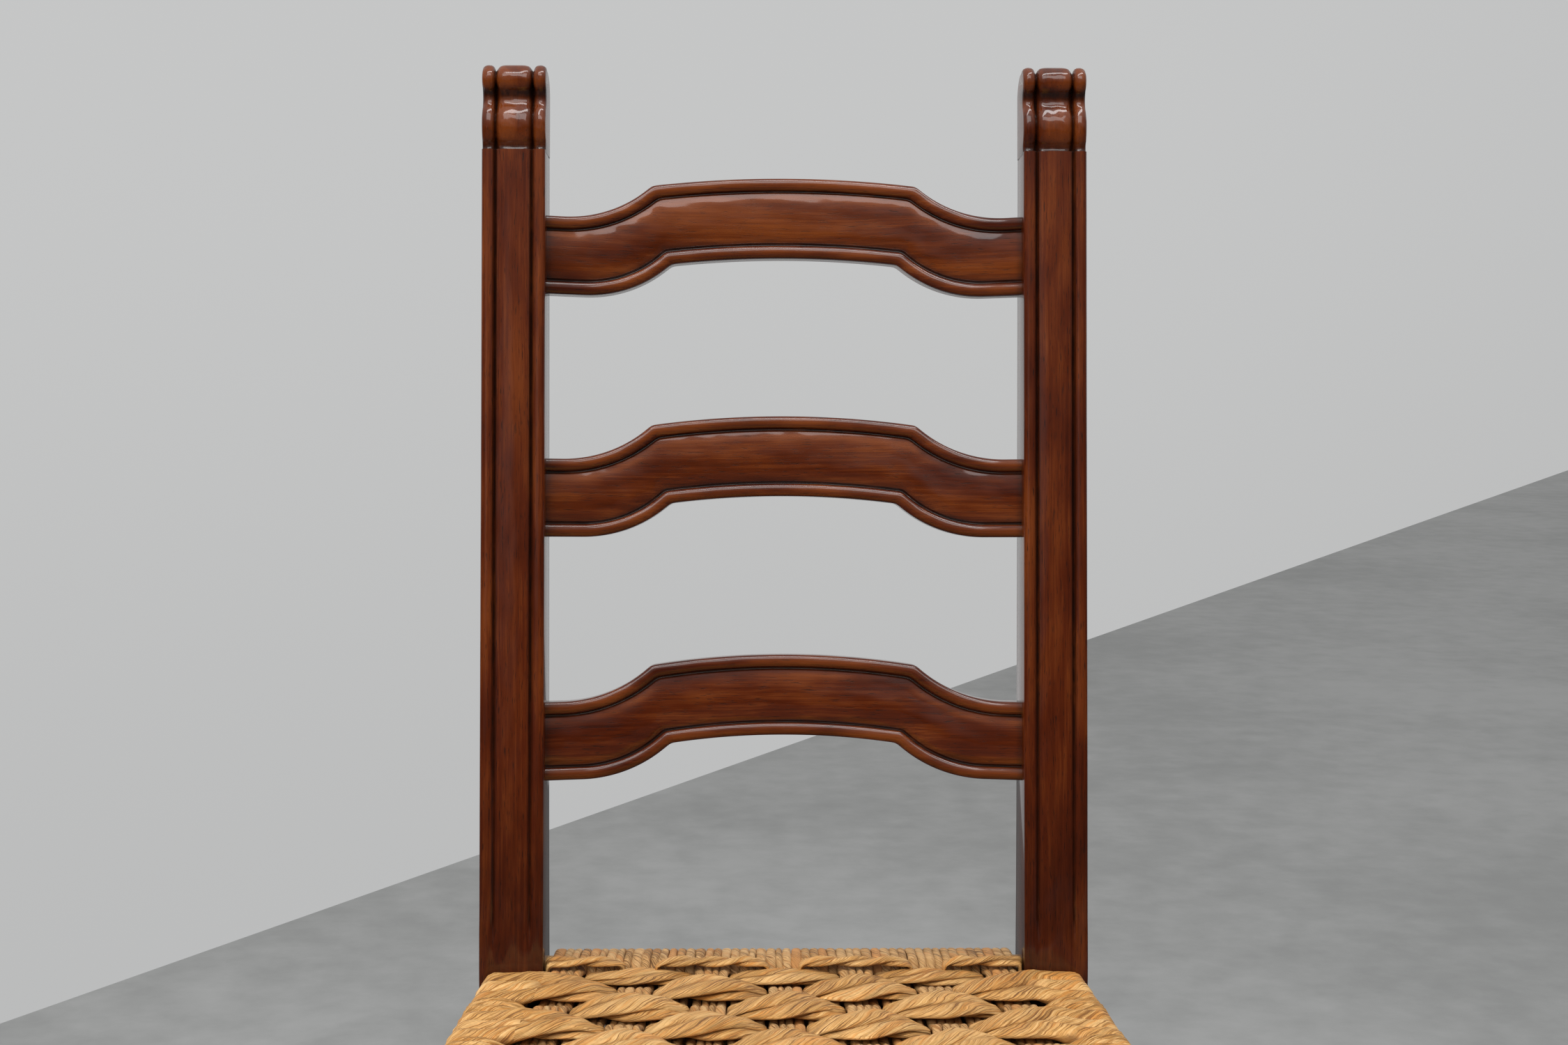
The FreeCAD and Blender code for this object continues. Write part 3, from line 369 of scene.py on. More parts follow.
class Graph:
    """Node tree of one material or world."""

    def __init__(self, owner: bpy.types.ID) -> None:
        """Start an empty tree.

        Args:
            owner: A new material or world.
        """
        self.owner = owner
        self.owner.use_nodes = True
        self.tree = self.owner.node_tree
        self.tree.nodes.clear()

    @classmethod
    def material(cls, name: str) -> "Graph":
        """Start a new material."""
        return cls(bpy.data.materials.new(name))

    def node(self, kind: str, settings: dict, sockets: dict) -> bpy.types.Node:
        """Add a node.

        Args:
            kind: The node's type.
            settings: Its own settings, set first. The key "stops" gives a ramp's stops.
            sockets: Values or wires of its inputs, by name, index or identifier.

        Returns:
            The node.
        """
        made = self.tree.nodes.new(kind)
        for key, value in settings.items():
            if key == "stops":
                ramp = made.color_ramp
                while len(ramp.elements) < len(value):
                    ramp.elements.new(0.5)
                for element, (place, colour) in zip(ramp.elements, value):
                    element.position = place
                    element.color = (*colour, 1.0)
            else:
                setattr(made, key, value)
        named = {s.identifier: s for s in made.inputs}
        for key, value in sockets.items():
            target = named[key] if isinstance(key, str) and key in named else made.inputs[key]
            if isinstance(value, Wire):
                self.tree.links.new(value.socket, target)
            elif isinstance(value, tuple) and len(value) == 3 and target.type == "RGBA":
                target.default_value = (*value, 1.0)
            else:
                target.default_value = value
        return made

    def attribute(self, name: str, output: str = "Fac") -> Wire:
        """Read a point value of the mesh."""
        node = self.node("ShaderNodeAttribute", {"attribute_name": name}, {})
        return Wire(self, node.outputs[output])

    def scaled(self, vector: Wire, scale: tuple) -> Wire:
        """Multiply a vector by another, number by number."""
        node = self.node("ShaderNodeVectorMath", {"operation": "MULTIPLY"}, {0: vector, 1: scale})
        return Wire(self, node.outputs[0])

    def moved(self, vector: Wire, other: Wire) -> Wire:
        """Add two vectors."""
        node = self.node("ShaderNodeVectorMath", {"operation": "ADD"}, {0: vector, 1: other})
        return Wire(self, node.outputs[0])

    def joined(self, x: object, y: object, z: object) -> Wire:
        """Make a vector from three numbers."""
        node = self.node("ShaderNodeCombineXYZ", {}, {0: x, 1: y, 2: z})
        return Wire(self, node.outputs[0])

    def coordinates(self, output: str) -> Wire:
        """Texture coordinates by the name of the node's output."""
        return Wire(self, self.node("ShaderNodeTexCoord", {}, {}).outputs[output])

    def parts(self, vector: Wire) -> list[Wire]:
        """The three numbers of a vector."""
        split = self.node("ShaderNodeSeparateXYZ", {}, {0: vector})
        return [Wire(self, split.outputs[k]) for k in range(3)]

    def glossy(self) -> Wire:
        """1 on a ray that a glossy surface sends out, or else 0."""
        return Wire(self, self.node("ShaderNodeLightPath", {}, {}).outputs["Is Glossy Ray"])

    def noise(self, vector: Wire, detail: float = 2.0, roughness: float = 0.5) -> Wire:
        """Noise of unit scale.

        Args:
            vector: Where it is read.
            detail: How many finer layers are added.
            roughness: How strong each finer layer is.

        Returns:
            The noise, about 0.5 in the mean.
        """
        node = self.node("ShaderNodeTexNoise", {},
                         {"Vector": vector, "Scale": 1.0, "Detail": detail, "Roughness": roughness})
        return Wire(self, node.outputs[0])

    def mix(self, share: object, first: object, second: object) -> Wire:
        """Mix two colours.

        Args:
            share: Share of the second colour.
            first: First colour.
            second: Second colour.

        Returns:
            The mixed colour.
        """
        node = self.node("ShaderNodeMix", {"data_type": "RGBA"},
                         {"Factor_Float": share, "A_Color": first, "B_Color": second})
        found = [s for s in node.outputs if s.identifier == "Result_Color"][0]
        return Wire(self, found)

    def ramp(self, value: Wire, stops: list) -> Wire:
        """Colours along a ramp."""
        return Wire(self, self.node("ShaderNodeValToRGB", {"stops": stops}, {0: value}).outputs[0])

    def bump(self, height: Wire, strength: float, distance: float) -> Wire:
        """Normal that a height field gives."""
        node = self.node("ShaderNodeBump", {},
                         {"Height": height, "Strength": strength, "Distance": distance})
        return Wire(self, node.outputs[0])

    def finish(self, sockets: dict) -> bpy.types.Material:
        """Close the tree with one Principled shader and give the material back."""
        shader = self.node("ShaderNodeBsdfPrincipled", {}, sockets)
        self.node("ShaderNodeOutputMaterial", {}, {0: Wire(self, shader.outputs[0])})
        return self.owner


@dataclass(frozen=True)
class StainedWood:
    """Dark stained hardwood under gloss lacquer, with pores, dark glazing and painted shade in the
    hollows, and worn crests with painted highlights.

    The scales give waves per metre across, across and along the grain.
    """

    name: str
    grain: Grain
    dark: tuple = (0.026, 0.0034, 0.0006)
    middle: tuple = (0.074, 0.0105, 0.0012)
    light: tuple = (0.175, 0.0390, 0.0055)
    glaze_and_shade: tuple = (0.0100, 0.0026, 0.0010)
    rough: float = 0.36
    coat: float = 0.80
    coat_rough: float = 0.08
    specular: float = 0.12
    drift_scale: tuple = (30.0, 30.0, 9.0)
    drift_reach: tuple = (0.006, 0.006, 0.0)
    blotch_scale: tuple = (38.0, 38.0, 10.0)
    streak_scale: tuple = (520.0, 520.0, 9.0)
    fine_scale: tuple = (2300.0, 2300.0, 55.0)
    pore_scale: tuple = (1500.0, 1500.0, 110.0)
    glaze_shade_mottle_scale: tuple = (240.0, 240.0, 70.0)
    peel_scale: tuple = (330.0, 330.0, 150.0)

    def place(self, graph: Graph) -> Wire:
        """Vector across, across and along the grain, in metres.

        Args:
            graph: Tree that the nodes go into.

        Returns:
            The vector, from the mesh's own values or from its object coordinates.
        """
        if self.grain is Grain.OWN:
            return graph.attribute("grain", "Vector")
        x, y, z = graph.parts(graph.coordinates("Object"))
        return graph.joined(z, y, x) if self.grain is Grain.ALONG_X else graph.joined(x, z, y)

    def material(self) -> bpy.types.Material:
        """Build the node tree.

        Returns:
            The material. Streaks and blotches pick a colour on a ramp, pores darken it to the dark
            glazing colour, hollows darken it by glazing and painted shade, and crests lighten it
            where worn and with painted highlights.
        """
        g = Graph.material(self.name)
        spot = self.place(g)
        drift = g.noise(g.scaled(spot, self.drift_scale), 2.0)
        bent = g.moved(spot, g.scaled(g.joined(drift, drift, 0.0), self.drift_reach))
        blotch = g.noise(g.scaled(spot, self.blotch_scale), 3.0, 0.55)
        streak = g.noise(g.scaled(bent, self.streak_scale), 4.0, 0.62)
        fine = g.noise(g.scaled(bent, self.fine_scale), 3.0, 0.6)
        pore = g.noise(g.scaled(bent, self.pore_scale), 2.0, 0.4).rise(0.60, 0.72)
        tone = streak * 0.55 + blotch * 0.75 + fine * 0.20 - 0.25
        colour = g.ramp(tone, [(0.22, self.dark), (0.50, self.middle), (0.80, self.light)])
        colour = g.mix(pore * 0.75, colour, self.glaze_and_shade)
        rough = streak * 0.10 + pore * 0.18 + (self.rough - 0.05)
        if self.grain is Grain.OWN:
            # crest: worn bead crests, plus painted highlights and painted sheen on the slats'
            # fields
            crest = g.attribute("crest") * blotch.rise(0.30, 0.62)
            colour = g.mix(crest * 0.55, colour, self.light)
            # hollow: dark glazing and painted shade in the grooves, quirks, the finial's cove and
            # waist and where slats meet posts, plus darker towards the seat; a noise mottles its
            # strength
            hollow = g.attribute("hollow")
            glaze_shade_mottle = g.noise(g.scaled(spot, self.glaze_shade_mottle_scale), 3.0).rise(0.25, 0.62)
            colour = g.mix(hollow * (glaze_shade_mottle * 0.35 + 0.62), colour, self.glaze_and_shade)
            rough = rough + hollow * 0.12
        peel = g.noise(g.scaled(spot, self.peel_scale), 2.0)
        height = fine * 0.25 - pore * 0.9 + peel * 0.55
        return g.finish({"Base Color": colour, "Roughness": rough,
                         "Normal": g.bump(height, 0.35, 0.0004),
                         "Coat Weight": self.coat, "Coat Roughness": self.coat_rough,
                         "Specular IOR Level": self.specular, "IOR": 1.5})


@dataclass(frozen=True)
class PlainWood:
    """Planed hardwood with no stain, as on the rails inside the weave."""

    name: str
    grain: Grain
    dark: tuple = (0.24, 0.13, 0.06)
    middle: tuple = (0.42, 0.26, 0.13)
    light: tuple = (0.55, 0.37, 0.20)
    streak_scale: tuple = (420.0, 420.0, 10.0)
    fine_scale: tuple = (2200.0, 2200.0, 60.0)

    def material(self) -> bpy.types.Material:
        """Build the node tree.

        Returns:
            The material.
        """
        g = Graph.material(self.name)
        spot = StainedWood(self.name, self.grain).place(g)
        streak = g.noise(g.scaled(spot, self.streak_scale), 4.0, 0.6)
        fine = g.noise(g.scaled(spot, self.fine_scale), 2.0)
        colour = g.ramp(streak, [(0.30, self.dark), (0.55, self.middle), (0.80, self.light)])
        return g.finish({"Base Color": colour, "Roughness": fine * 0.2 + 0.5,
                         "Normal": g.bump(fine, 0.3, 0.0003)})


@dataclass(frozen=True)
class Rush:
    """Dried rush: straw colours in long fibres that wind round a strand.

    Lay is the fibres' angle to the strand, fibre their number per metre, and odd how much
    more orange the odd strand is.
    """

    name: str
    pale: tuple
    straw: tuple
    orange: tuple
    shade: tuple
    lay: float
    fibre: float
    rough: float = 0.52
    odd: float = 0.10

    def material(self) -> bpy.types.Material:
        """Build the node tree.

        Returns:
            The material. Its UV map runs round and along a strand, in metres, and the
            noises are read across and along the fibres, which cross the strand at an angle.
        """
        g = Graph.material(self.name)
        u, v, _ = g.parts(Wire(g, g.node("ShaderNodeUVMap", {"uv_map": "lay"}, {}).outputs[0]))
        tone = g.attribute("tone")
        wander = g.noise(g.joined(u * 60.0, v * 25.0, tone * 40.0), 2.0) * 0.010
        across = u * math.cos(self.lay) + v * math.sin(self.lay) + wander
        along = v * math.cos(self.lay) - u * math.sin(self.lay)
        lot = tone * 37.0
        fibre = g.noise(g.joined(across * self.fibre, along * 26.0, lot), 3.0, 0.65)
        hair = g.noise(g.joined(across * (self.fibre * 3.2), along * 60.0, lot + 5.0), 2.0, 0.6)
        band = g.noise(g.joined(across * (self.fibre * 0.40), along * 9.0, lot + 9.0), 2.0)
        patch = g.noise(g.joined(u * 25.0, v * 18.0, lot + 3.0), 2.0)
        mixed = fibre * 0.85 + hair * 0.35 + (tone - 0.5) * 0.16 - 0.10
        colour = g.ramp(mixed, [(0.34, self.shade), (0.44, self.straw), (0.60, self.pale)])
        warm = (band * 0.8 + patch * 0.30 + tone.rise(0.72, 0.95) * self.odd).rise(0.52, 0.74)
        colour = g.mix(warm * 0.65, colour, self.orange)
        gap = fibre.rise(0.45, 0.36)
        colour = g.mix(gap * 0.68, colour, self.shade)
        # painted shade from the mesh's hollow values: folds, fibre troughs and where cords and
        # strands touch
        colour = g.mix(g.attribute("hollow") * 0.65, colour, self.shade)
        height = fibre * 0.8 + hair * 0.35
        return g.finish({"Base Color": colour, "Roughness": hair * 0.2 + (self.rough - 0.1),
                         "Normal": g.bump(height, 1.0, 0.0022), "IOR": 1.45})


@dataclass(frozen=True)
class Chair:
    """Sizes that the pieces share, in mm."""

    seat_height: float = 460.0
    back_width: float = 430.0
    front_width: float = 486.0
    rake: float = 7.5
    post_width: float = 45.0
    leg_front: float = -375.5
    leg_depth: float = 48.0
    post_front: float = 0.0

    @property
    def post_x(self) -> float:
        """Centre line of a rear post."""
        return (self.back_width - self.post_width) / 2.0

    @property
    def post_inner(self) -> float:
        """Inner face of a rear post."""
        return self.back_width / 2.0 - self.post_width

    @property
    def leg_x(self) -> float:
        """Centre line of a front leg."""
        return (self.front_width - self.post_width) / 2.0

    @property
    def leg_inner(self) -> float:
        """Inner face of a front leg."""
        return self.front_width / 2.0 - self.post_width


CHAIR = Chair()


def dress(piece: bpy.types.Object, material: bpy.types.Material, slot: Slot, *nodes: str) -> None:
    """Give a piece its finish and put it in the place of CAD nodes.

    Args:
        piece: The new piece.
        material: Its finish.
        slot: Not used.
        nodes: CAD nodes that it stands for.
    """
    piece.data.materials.append(material)
    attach(piece, BODY)
    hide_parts(*nodes)
    LOG.info("%s: %d points", piece.name, len(piece.data.vertices))


@dataclass(frozen=True)
class Reeds:
    """Moulded face of a post: bead, groove, shallow field, groove, bead."""

    half: float = 22.5
    bead: float = 8.3
    groove: float = 2.7
    depth: float = 3.3
    swell: float = 1.3
    corner: float = 3.0
    skim: float = 0.15
    arris: float = 1.1

    def columns(self) -> Array:
        """Places across the face, close together where it curves most.

        Returns:
            Places from minus half to half.
        """
        groove_in = self.half - self.bead - self.groove
        groove_out = self.half - self.bead
        turn = np.linspace(0.0, math.pi / 2.0, 10)
        crest = self.half - self.bead / 2.0
        right = np.concatenate([
            np.linspace(0.0, groove_in, 9)[:-1], np.linspace(groove_in, groove_out, 9)[:-1],
            crest - self.bead / 2.0 * np.cos(turn[::2])[:-1],
            crest + self.bead / 2.0 * np.sin(turn)])
        return np.concatenate([-right[:0:-1], right])

    def drop(self, x: Array, strength: Array) -> tuple[Array, Array, Array]:
        """Depth of the moulding below the flat face.

        Args:
            x: Places across, from minus half to half.
            strength: Share of the full moulding, one number a station.

        Returns:
            Depth, groove darkening and crest, each of stations by columns. The beads are half
            ellipses, the field is a parabola and the grooves are rounded Vs. Dark glazing and
            painted shade darken the middle of each groove.
        """
        a = np.abs(x)
        crest = self.half - self.bead / 2.0
        end = self.half - self.bead
        field_end = end - self.groove
        mid = end - self.groove / 2.0
        outer = self.corner * quarter_round((a - crest) / (self.bead / 2.0))
        inner = self.swell * quarter_round((crest - a) / (self.bead / 2.0))
        vee = 1.0 - np.clip(np.abs(a - mid) / (self.groove / 2.0), 0.0, 1.0)
        groove = self.swell + (self.depth - self.swell) * vee**0.75
        moulding = np.where(a > crest, outer, np.where(a > end, inner,
                            np.where(a > field_end, groove, self.swell * (a / field_end) ** 2)))
        ease = self.arris * quarter_round((a - self.half + self.arris) / self.arris)
        depth = np.maximum(self.skim + strength[:, None] * moulding[None, :],
                           ease[None, :])
        # dark glazing and painted shade along the middle of each groove
        near = np.exp(-((np.abs(a - mid) / (self.groove * 0.62)) ** 2))
        glaze_and_shade = near[None, :] * np.clip(strength[:, None] * 1.6, 0.0, 1.0)
        worn = 0.5 * np.exp(-(((a - crest) / 1.6) ** 2)) + 0.4 * np.exp(-((a / 7.0) ** 2))
        return depth, glaze_and_shade, worn[None, :] * (0.3 + 0.7 * strength[:, None])


@dataclass
class Side:
    """One side view line of an upright, with what the moulding needs at each station."""

    line: Array
    inward: Array
    strength: Array


@dataclass
class Upright:
    """Rear post or front leg as rings of points round its section."""

    name: str
    node: str
    centre: float
    reeds: Reeds = field(default_factory=Reeds)

    def rings(self, front: Side, back: Side, tops: Array, bottoms: Array) -> Array:
        """Rings of points from the side views and the depths across.

        Args:
            front: Front line and its inward normals.
            back: Back line and its inward normals.
            tops: Depth below the front line, stations by columns.
            bottoms: Depth below the back line, stations by columns.

        Returns:
            Stations by ring by 3, before the centre line's X is added.
        """
        x = self.reeds.columns()
        face = front.line[:, None, :] + front.inward[:, None, :] * tops[..., None]
        rear = back.line[:, None, :] + back.inward[:, None, :] * bottoms[..., None]
        across = np.broadcast_to(x, tops.shape)
        one = np.concatenate([across[..., None], face], axis=-1)
        two = np.concatenate([across[..., None], rear], axis=-1)[:, ::-1]
        return np.concatenate([one, two], axis=1)

    def plane(self, grid: Array, seed: int) -> None:
        """Make the faces slightly uneven, as a hand plane leaves them.

        Args:
            grid: Rings of points, changed in place.
            seed: Seed of the unevenness.
        """
        grid[..., 1] += ripple(grid * np.array(PLANE_SCALE), PLANE_WAVE, seed) * PLANE_DEPTH


@dataclass
class RearPost(Upright):
    """Sawn rear post with a knee at the seat, a reeded face and a carved scroll finial."""

    rise: float = 584.0
    foot: float = 44.0
    calf: float = 49.0
    seat: float = 54.0
    lumbar: float = 47.0
    top: float = 38.0
    lumbar_rise: float = 140.0
    finial_height: float = 61.3
    ledge: float = 3.8
    side_step: float = -0.1

    def leaned(self, depth: float, rise: float) -> tuple[float, float]:
        """Side view point given square to the raked face."""
        a = math.radians(CHAIR.rake)
        return (depth * math.cos(a) + rise * math.sin(a),
                CHAIR.seat_height - depth * math.sin(a) + rise * math.cos(a))

    def shaft(self) -> tuple[Side, Side]:
        """Front and back lines from the foot to the ledge under the finial.

        Returns:
            Both sides. The back bulges over the knee on a circle, and the front's
            moulding fades in above the seat.
        """
        knee = CHAIR.seat_height
        low = knee - self.lumbar_rise
        heights = np.concatenate([[0.0, 1.2], np.linspace(14.0, low, 14)])
        front = [(0.0, z) for z in heights]
        back = [(self.foot + (self.calf - self.foot) * z / low, z) for z in heights]
        steps = np.linspace(-self.lumbar_rise, self.lumbar_rise, 40)[1:]
        curve = arc_points((self.calf, low), (self.seat, knee),
                           self.leaned(self.lumbar, self.lumbar_rise), 40)[1:]
        front += [(0.0, knee + s) if s < 0.0 else self.leaned(0.0, s) for s in steps]
        back += [tuple(p) for p in curve]
        rises = np.linspace(self.lumbar_rise, self.rise, 90)[1:]
        front += [self.leaned(0.0, r) for r in rises]
        share = (rises - self.lumbar_rise) / (self.rise - self.lumbar_rise)
        back += [self.leaned(self.lumbar + (self.top - self.lumbar) * s, r)
                 for s, r in zip(share, rises)]
        front, back = np.array(front), np.array(back)
        along = (front[:, 1] - knee) / math.cos(math.radians(CHAIR.rake))
        fade = smoothstep(along, 20.0, 40.0) * (0.55 + 0.45 * smoothstep(along, 120.0, 420.0))
        return (Side(front, normals_of(front, -1.0), fade),
                Side(back, normals_of(back, 1.0), np.zeros(len(back))))

    def scroll(self) -> Array:
        """Side view of the scroll: cove, roll, waist, top roll, falling crown and heel.

        Returns:
            Points square to the raked face, as depth and rise, on circles through threes.
        """
        deep, high, ledge = self.top, self.finial_height, self.ledge
        cove = [(ledge, 0.0), (ledge * 1.25, 2.9), (ledge * 0.8, 6.5)]
        roll = [(0.0, 18.6), (4.8, 31.5)]
        waist = [(6.8, 37.0), (5.0, 42.5)]
        brow = [(ledge * 0.25, 49.7), (ledge * 1.3, high - 2.6)]
        crown = [(deep * 0.24, high), (deep * 0.42, high - 0.65), (deep * 0.76, high - 4.0)]
        heel = [(deep * 0.95, high - 12.0), (deep * 0.99, high - 15.6), (deep, high - 20.0)]
        points = cove + roll + waist + brow + crown + heel
        arcs = [arc_points(*points[i:i + 3], 24)[:-1] for i in range(0, len(points) - 1, 2)]
        line = np.concatenate(arcs + [np.array([points[-1], (deep, 0.0)])])
        return line + np.array([0.0, self.rise])

    def finial(self, count: int = 84) -> tuple[Side, Side]:
        """Front line up to the crown and back line up to the same point, both raked.

        Args:
            count: Stations of each line.

        Returns:
            Both sides, which meet at the crown.
        """
        line = self.scroll()
        crown = int(np.argmax(line[:, 1]))
        both = []
        for part, turn in ((line[:crown + 1], -1.0), (line[:crown - 1:-1], 1.0)):
            even = resample(part, count)
            shifted = np.array([self.leaned(d, r) for d, r in even])
            both.append(Side(shifted, normals_of(shifted, turn), np.ones(count)))
        both[0].inward[-1] = both[1].inward[-1] = (both[0].inward[-1] + both[1].inward[-1]) / 2.0
        both[0].line[-1] = both[1].line[-1]
        return both[0], both[1]

    def lobes(self, x: Array, carve: Array) -> tuple[Array, Array]:
        """Depth of the finial's carving: two narrow lobes and a broad one between grooves.

        Args:
            x: Places across.
            carve: Share of the full depth, one number a station.

        Returns:
            Depth and groove darkening, by dark glazing and painted shade. The lobes are half
            ellipses across, and the grooves are deep rounded Vs that open towards the waist.
        """
        r = self.reeds
        a = np.abs(x)
        mid = r.half - r.bead - r.groove / 2.0
        lobe = (r.half + mid + 0.6) / 2.0
        side = 3.0 * quarter_round(np.abs(a - lobe) / (r.half - lobe))
        broad = 2.3 * (a / (mid * 0.97)) ** 5
        groove = 1.5 * np.exp(-(((a - mid) / 1.5) ** 2))
        shape = np.where(a > mid, side, np.minimum(broad, 3.0)) + groove
        # dark glazing and painted shade along each groove
        glaze_and_shade = 0.85 * np.exp(-(((a - mid) / 1.2) ** 2))
        return carve[:, None] * shape[None, :], carve[:, None] * glaze_and_shade[None, :]

    def head(self, x: Array) -> tuple[Array, Array, Array]:
        """Carved finial.

        Args:
            x: Places across the face.

        Returns:
            Rings of points, darkening and crest. The carving is deepest at the waist, fades
            out down the back, and the cove and the waist get painted shade and are darkest. The
            crest is lighter wherever no shade is painted, at half strength down the back.
        """
        nose, nape = self.finial()
        share = np.linspace(0.0, 1.0, len(nose.line))
        wave = 1.0 + 0.25 * np.exp(-(((share - 0.58) / 0.12) ** 2))
        face, dark = self.lobes(x, wave * np.ones(len(share)))
        rear, dark_rear = self.lobes(x, smoothstep(share, 0.62, 0.97))
        face[-1] = rear[-1] = (face[-1] + rear[-1]) / 2.0
        rings = self.rings(nose, nape, face, rear)
        rings[..., 0] *= (self.reeds.half - self.side_step) / self.reeds.half
        # painted shade: dark bands in the cove at the foot and in the waist under the top roll
        shade = np.exp(-((share / 0.08) ** 2)) + np.exp(-(((share - 0.605) / 0.055) ** 2))
        dark = np.clip(dark + shade[:, None] * 0.95, 0.0, 1.0)
        glaze_and_shade = np.concatenate([dark, dark_rear], 1)
        return rings, glaze_and_shade, np.concatenate([1.0 - dark, (1.0 - dark_rear) * 0.5], 1)

    def build(self, material: bpy.types.Material, seed: int) -> None:
        """Make the post and put it in place of its CAD node.

        Args:
            material: Its finish.
            seed: Seed of the unevenness and place of the grain.
        """
        x = self.reeds.columns()
        front, back = self.shaft()
        tops, glaze_and_shade, crest = self.reeds.drop(x, front.strength)
        bottoms, _, _ = self.reeds.drop(x, back.strength)
        shaft = self.rings(front, back, tops, bottoms)
        scroll, dark, lit = self.head(x)
        grid = np.concatenate([shaft, scroll])
        # hollow: dark glazing and painted shade in the shaft's grooves, then the finial's painted
        # shade
        hollow = np.concatenate([np.concatenate([glaze_and_shade, glaze_and_shade * 0.0], 1), dark])
        light = np.concatenate([np.concatenate([crest, crest * 0.15], 1), lit])
        above = grid[..., 2] - CHAIR.seat_height
        # darker towards the seat, fading out between 20 and 190 mm above it
        seat_darkening = 0.42 * (1.0 - smoothstep(above, 20.0, 190.0))
        hollow[:len(shaft)] = np.maximum(hollow[:len(shaft)], seat_darkening[:len(shaft)])
        along = np.concatenate([front.line[:, 1], self.finial()[0].line[:, 1]])
        set_back = np.maximum(above, 0.0) * math.tan(math.radians(CHAIR.rake))
        straight = np.stack([grid[..., 0], grid[..., 1] - set_back, grid[..., 2]], -1)
        self.plane(grid, seed)
        carved = np.arange(len(grid)) >= len(shaft)
        chisel = ripple(grid + seed, 7.0, seed + 9) * 0.07
        grid[..., 1] += np.where(carved[:, None], chisel, 0.0)
        grid[-1] = (grid[-1] + grid[-1, ::-1]) / 2.0
        grid[..., 0] += self.centre
        book = MeshBook()
        ring = np.linspace(0.0, GIRTH_UV, grid.shape[1] + 1)
        book.add(grid, ring, along * MM, hollow=hollow, crest=light,
                 grain=straight * MM + seed * GRAIN_SHIFT)
        piece = book.build(self.name, weld=0.02, sharp=38.0)
        dress(piece, material, Slot.POST, self.node)


@dataclass
class FrontLeg(Upright):
    """Straight front leg, reeded between the foot and the seat, with a bevelled top."""

    above_seat: float = 9.0

    def build(self, material: bpy.types.Material, seed: int) -> None:
        """Make the leg and put it in place of its CAD node.

        Args:
            material: Its finish.
            seed: Seed of the unevenness and place of the grain.
        """
        top = CHAIR.seat_height + self.above_seat
        z = np.concatenate([[0.0, 1.2], np.linspace(12.0, 60.0, 4), np.linspace(66.0, 88.0, 12),
                            np.linspace(100.0, 372.0, 40), np.linspace(376.0, 394.0, 10),
                            [410.0, 440.0, top - 3.2, top - 2.9, top - 1.2, top]])
        inset = np.concatenate([[1.0], np.zeros(len(z) - 4), [0.3, 1.6, 3.4]])
        fade = smoothstep(z, 70.0, 84.0) * (1.0 - smoothstep(z, 376.0, 390.0))
        inward = np.tile([1.0, 0.0], (len(z), 1))
        front = Side(np.stack([CHAIR.leg_front + inset, z], 1), inward, fade)
        rear_face = CHAIR.leg_front + CHAIR.leg_depth
        back = Side(np.stack([rear_face - inset, z], 1), -inward, fade * 0.0)
        x = self.reeds.columns()
        tops, glaze_and_shade, crest = self.reeds.drop(x, front.strength)
        bottoms, _, _ = self.reeds.drop(x, back.strength)
        grid = self.rings(front, back, tops, bottoms)
        half = self.reeds.half
        grid[..., 0] *= ((half - inset) / half)[:, None]
        self.plane(grid, seed)
        straight = grid * MM + seed * GRAIN_SHIFT
        grid[..., 0] += self.centre
        book = MeshBook()
        book.add(grid, np.linspace(0.0, GIRTH_UV, grid.shape[1] + 1), z * MM,
                 hollow=np.concatenate([glaze_and_shade, glaze_and_shade * 0.0], 1),
                 crest=np.concatenate([crest, crest * 0.15], 1), grain=straight)
        dress(book.build(self.name, sharp=38.0), material, Slot.POST, self.node)


@dataclass(frozen=True)
class Edge:
    """Long edge of a slat: flat end, sweep up to a crisp shoulder, shallow crown."""

    shoulder: float
    rise: float
    crown: float
    sweep: float = 92.0
    crispness: float = 0.8

    def height(self, x: Array, base: float, shift: Array) -> Array:
        """Height of the edge, moved square to itself.

        Args:
            x: Places along the slat.
            base: Height of the flat end.
            shift: How far the edge is moved upwards.

        Returns:
            Heights. The sweep and the crown are circles whose radii change by the
            shift, and a soft minimum joins them at the shoulder.
        """
        turn = math.acos(1.0 - self.rise / self.sweep)
        flat_x = self.shoulder + self.sweep * math.sin(turn)
        sag = self.crown - self.rise
        radius = (self.shoulder**2 + sag**2) / (2.0 * sag)
        a = np.abs(x)
        run = np.clip(flat_x - a, 0.0, None)
        sweep_radius = self.sweep - shift
        sweep = base + self.sweep - np.sqrt(np.clip(sweep_radius**2 - run**2, 0.0, None))
        crown = base + self.crown - radius + np.sqrt((radius + shift) ** 2 - a**2)
        k = self.crispness
        low = np.minimum(sweep, crown)
        return low - k * np.log(np.exp((low - sweep) / k) + np.exp((low - crown) / k))


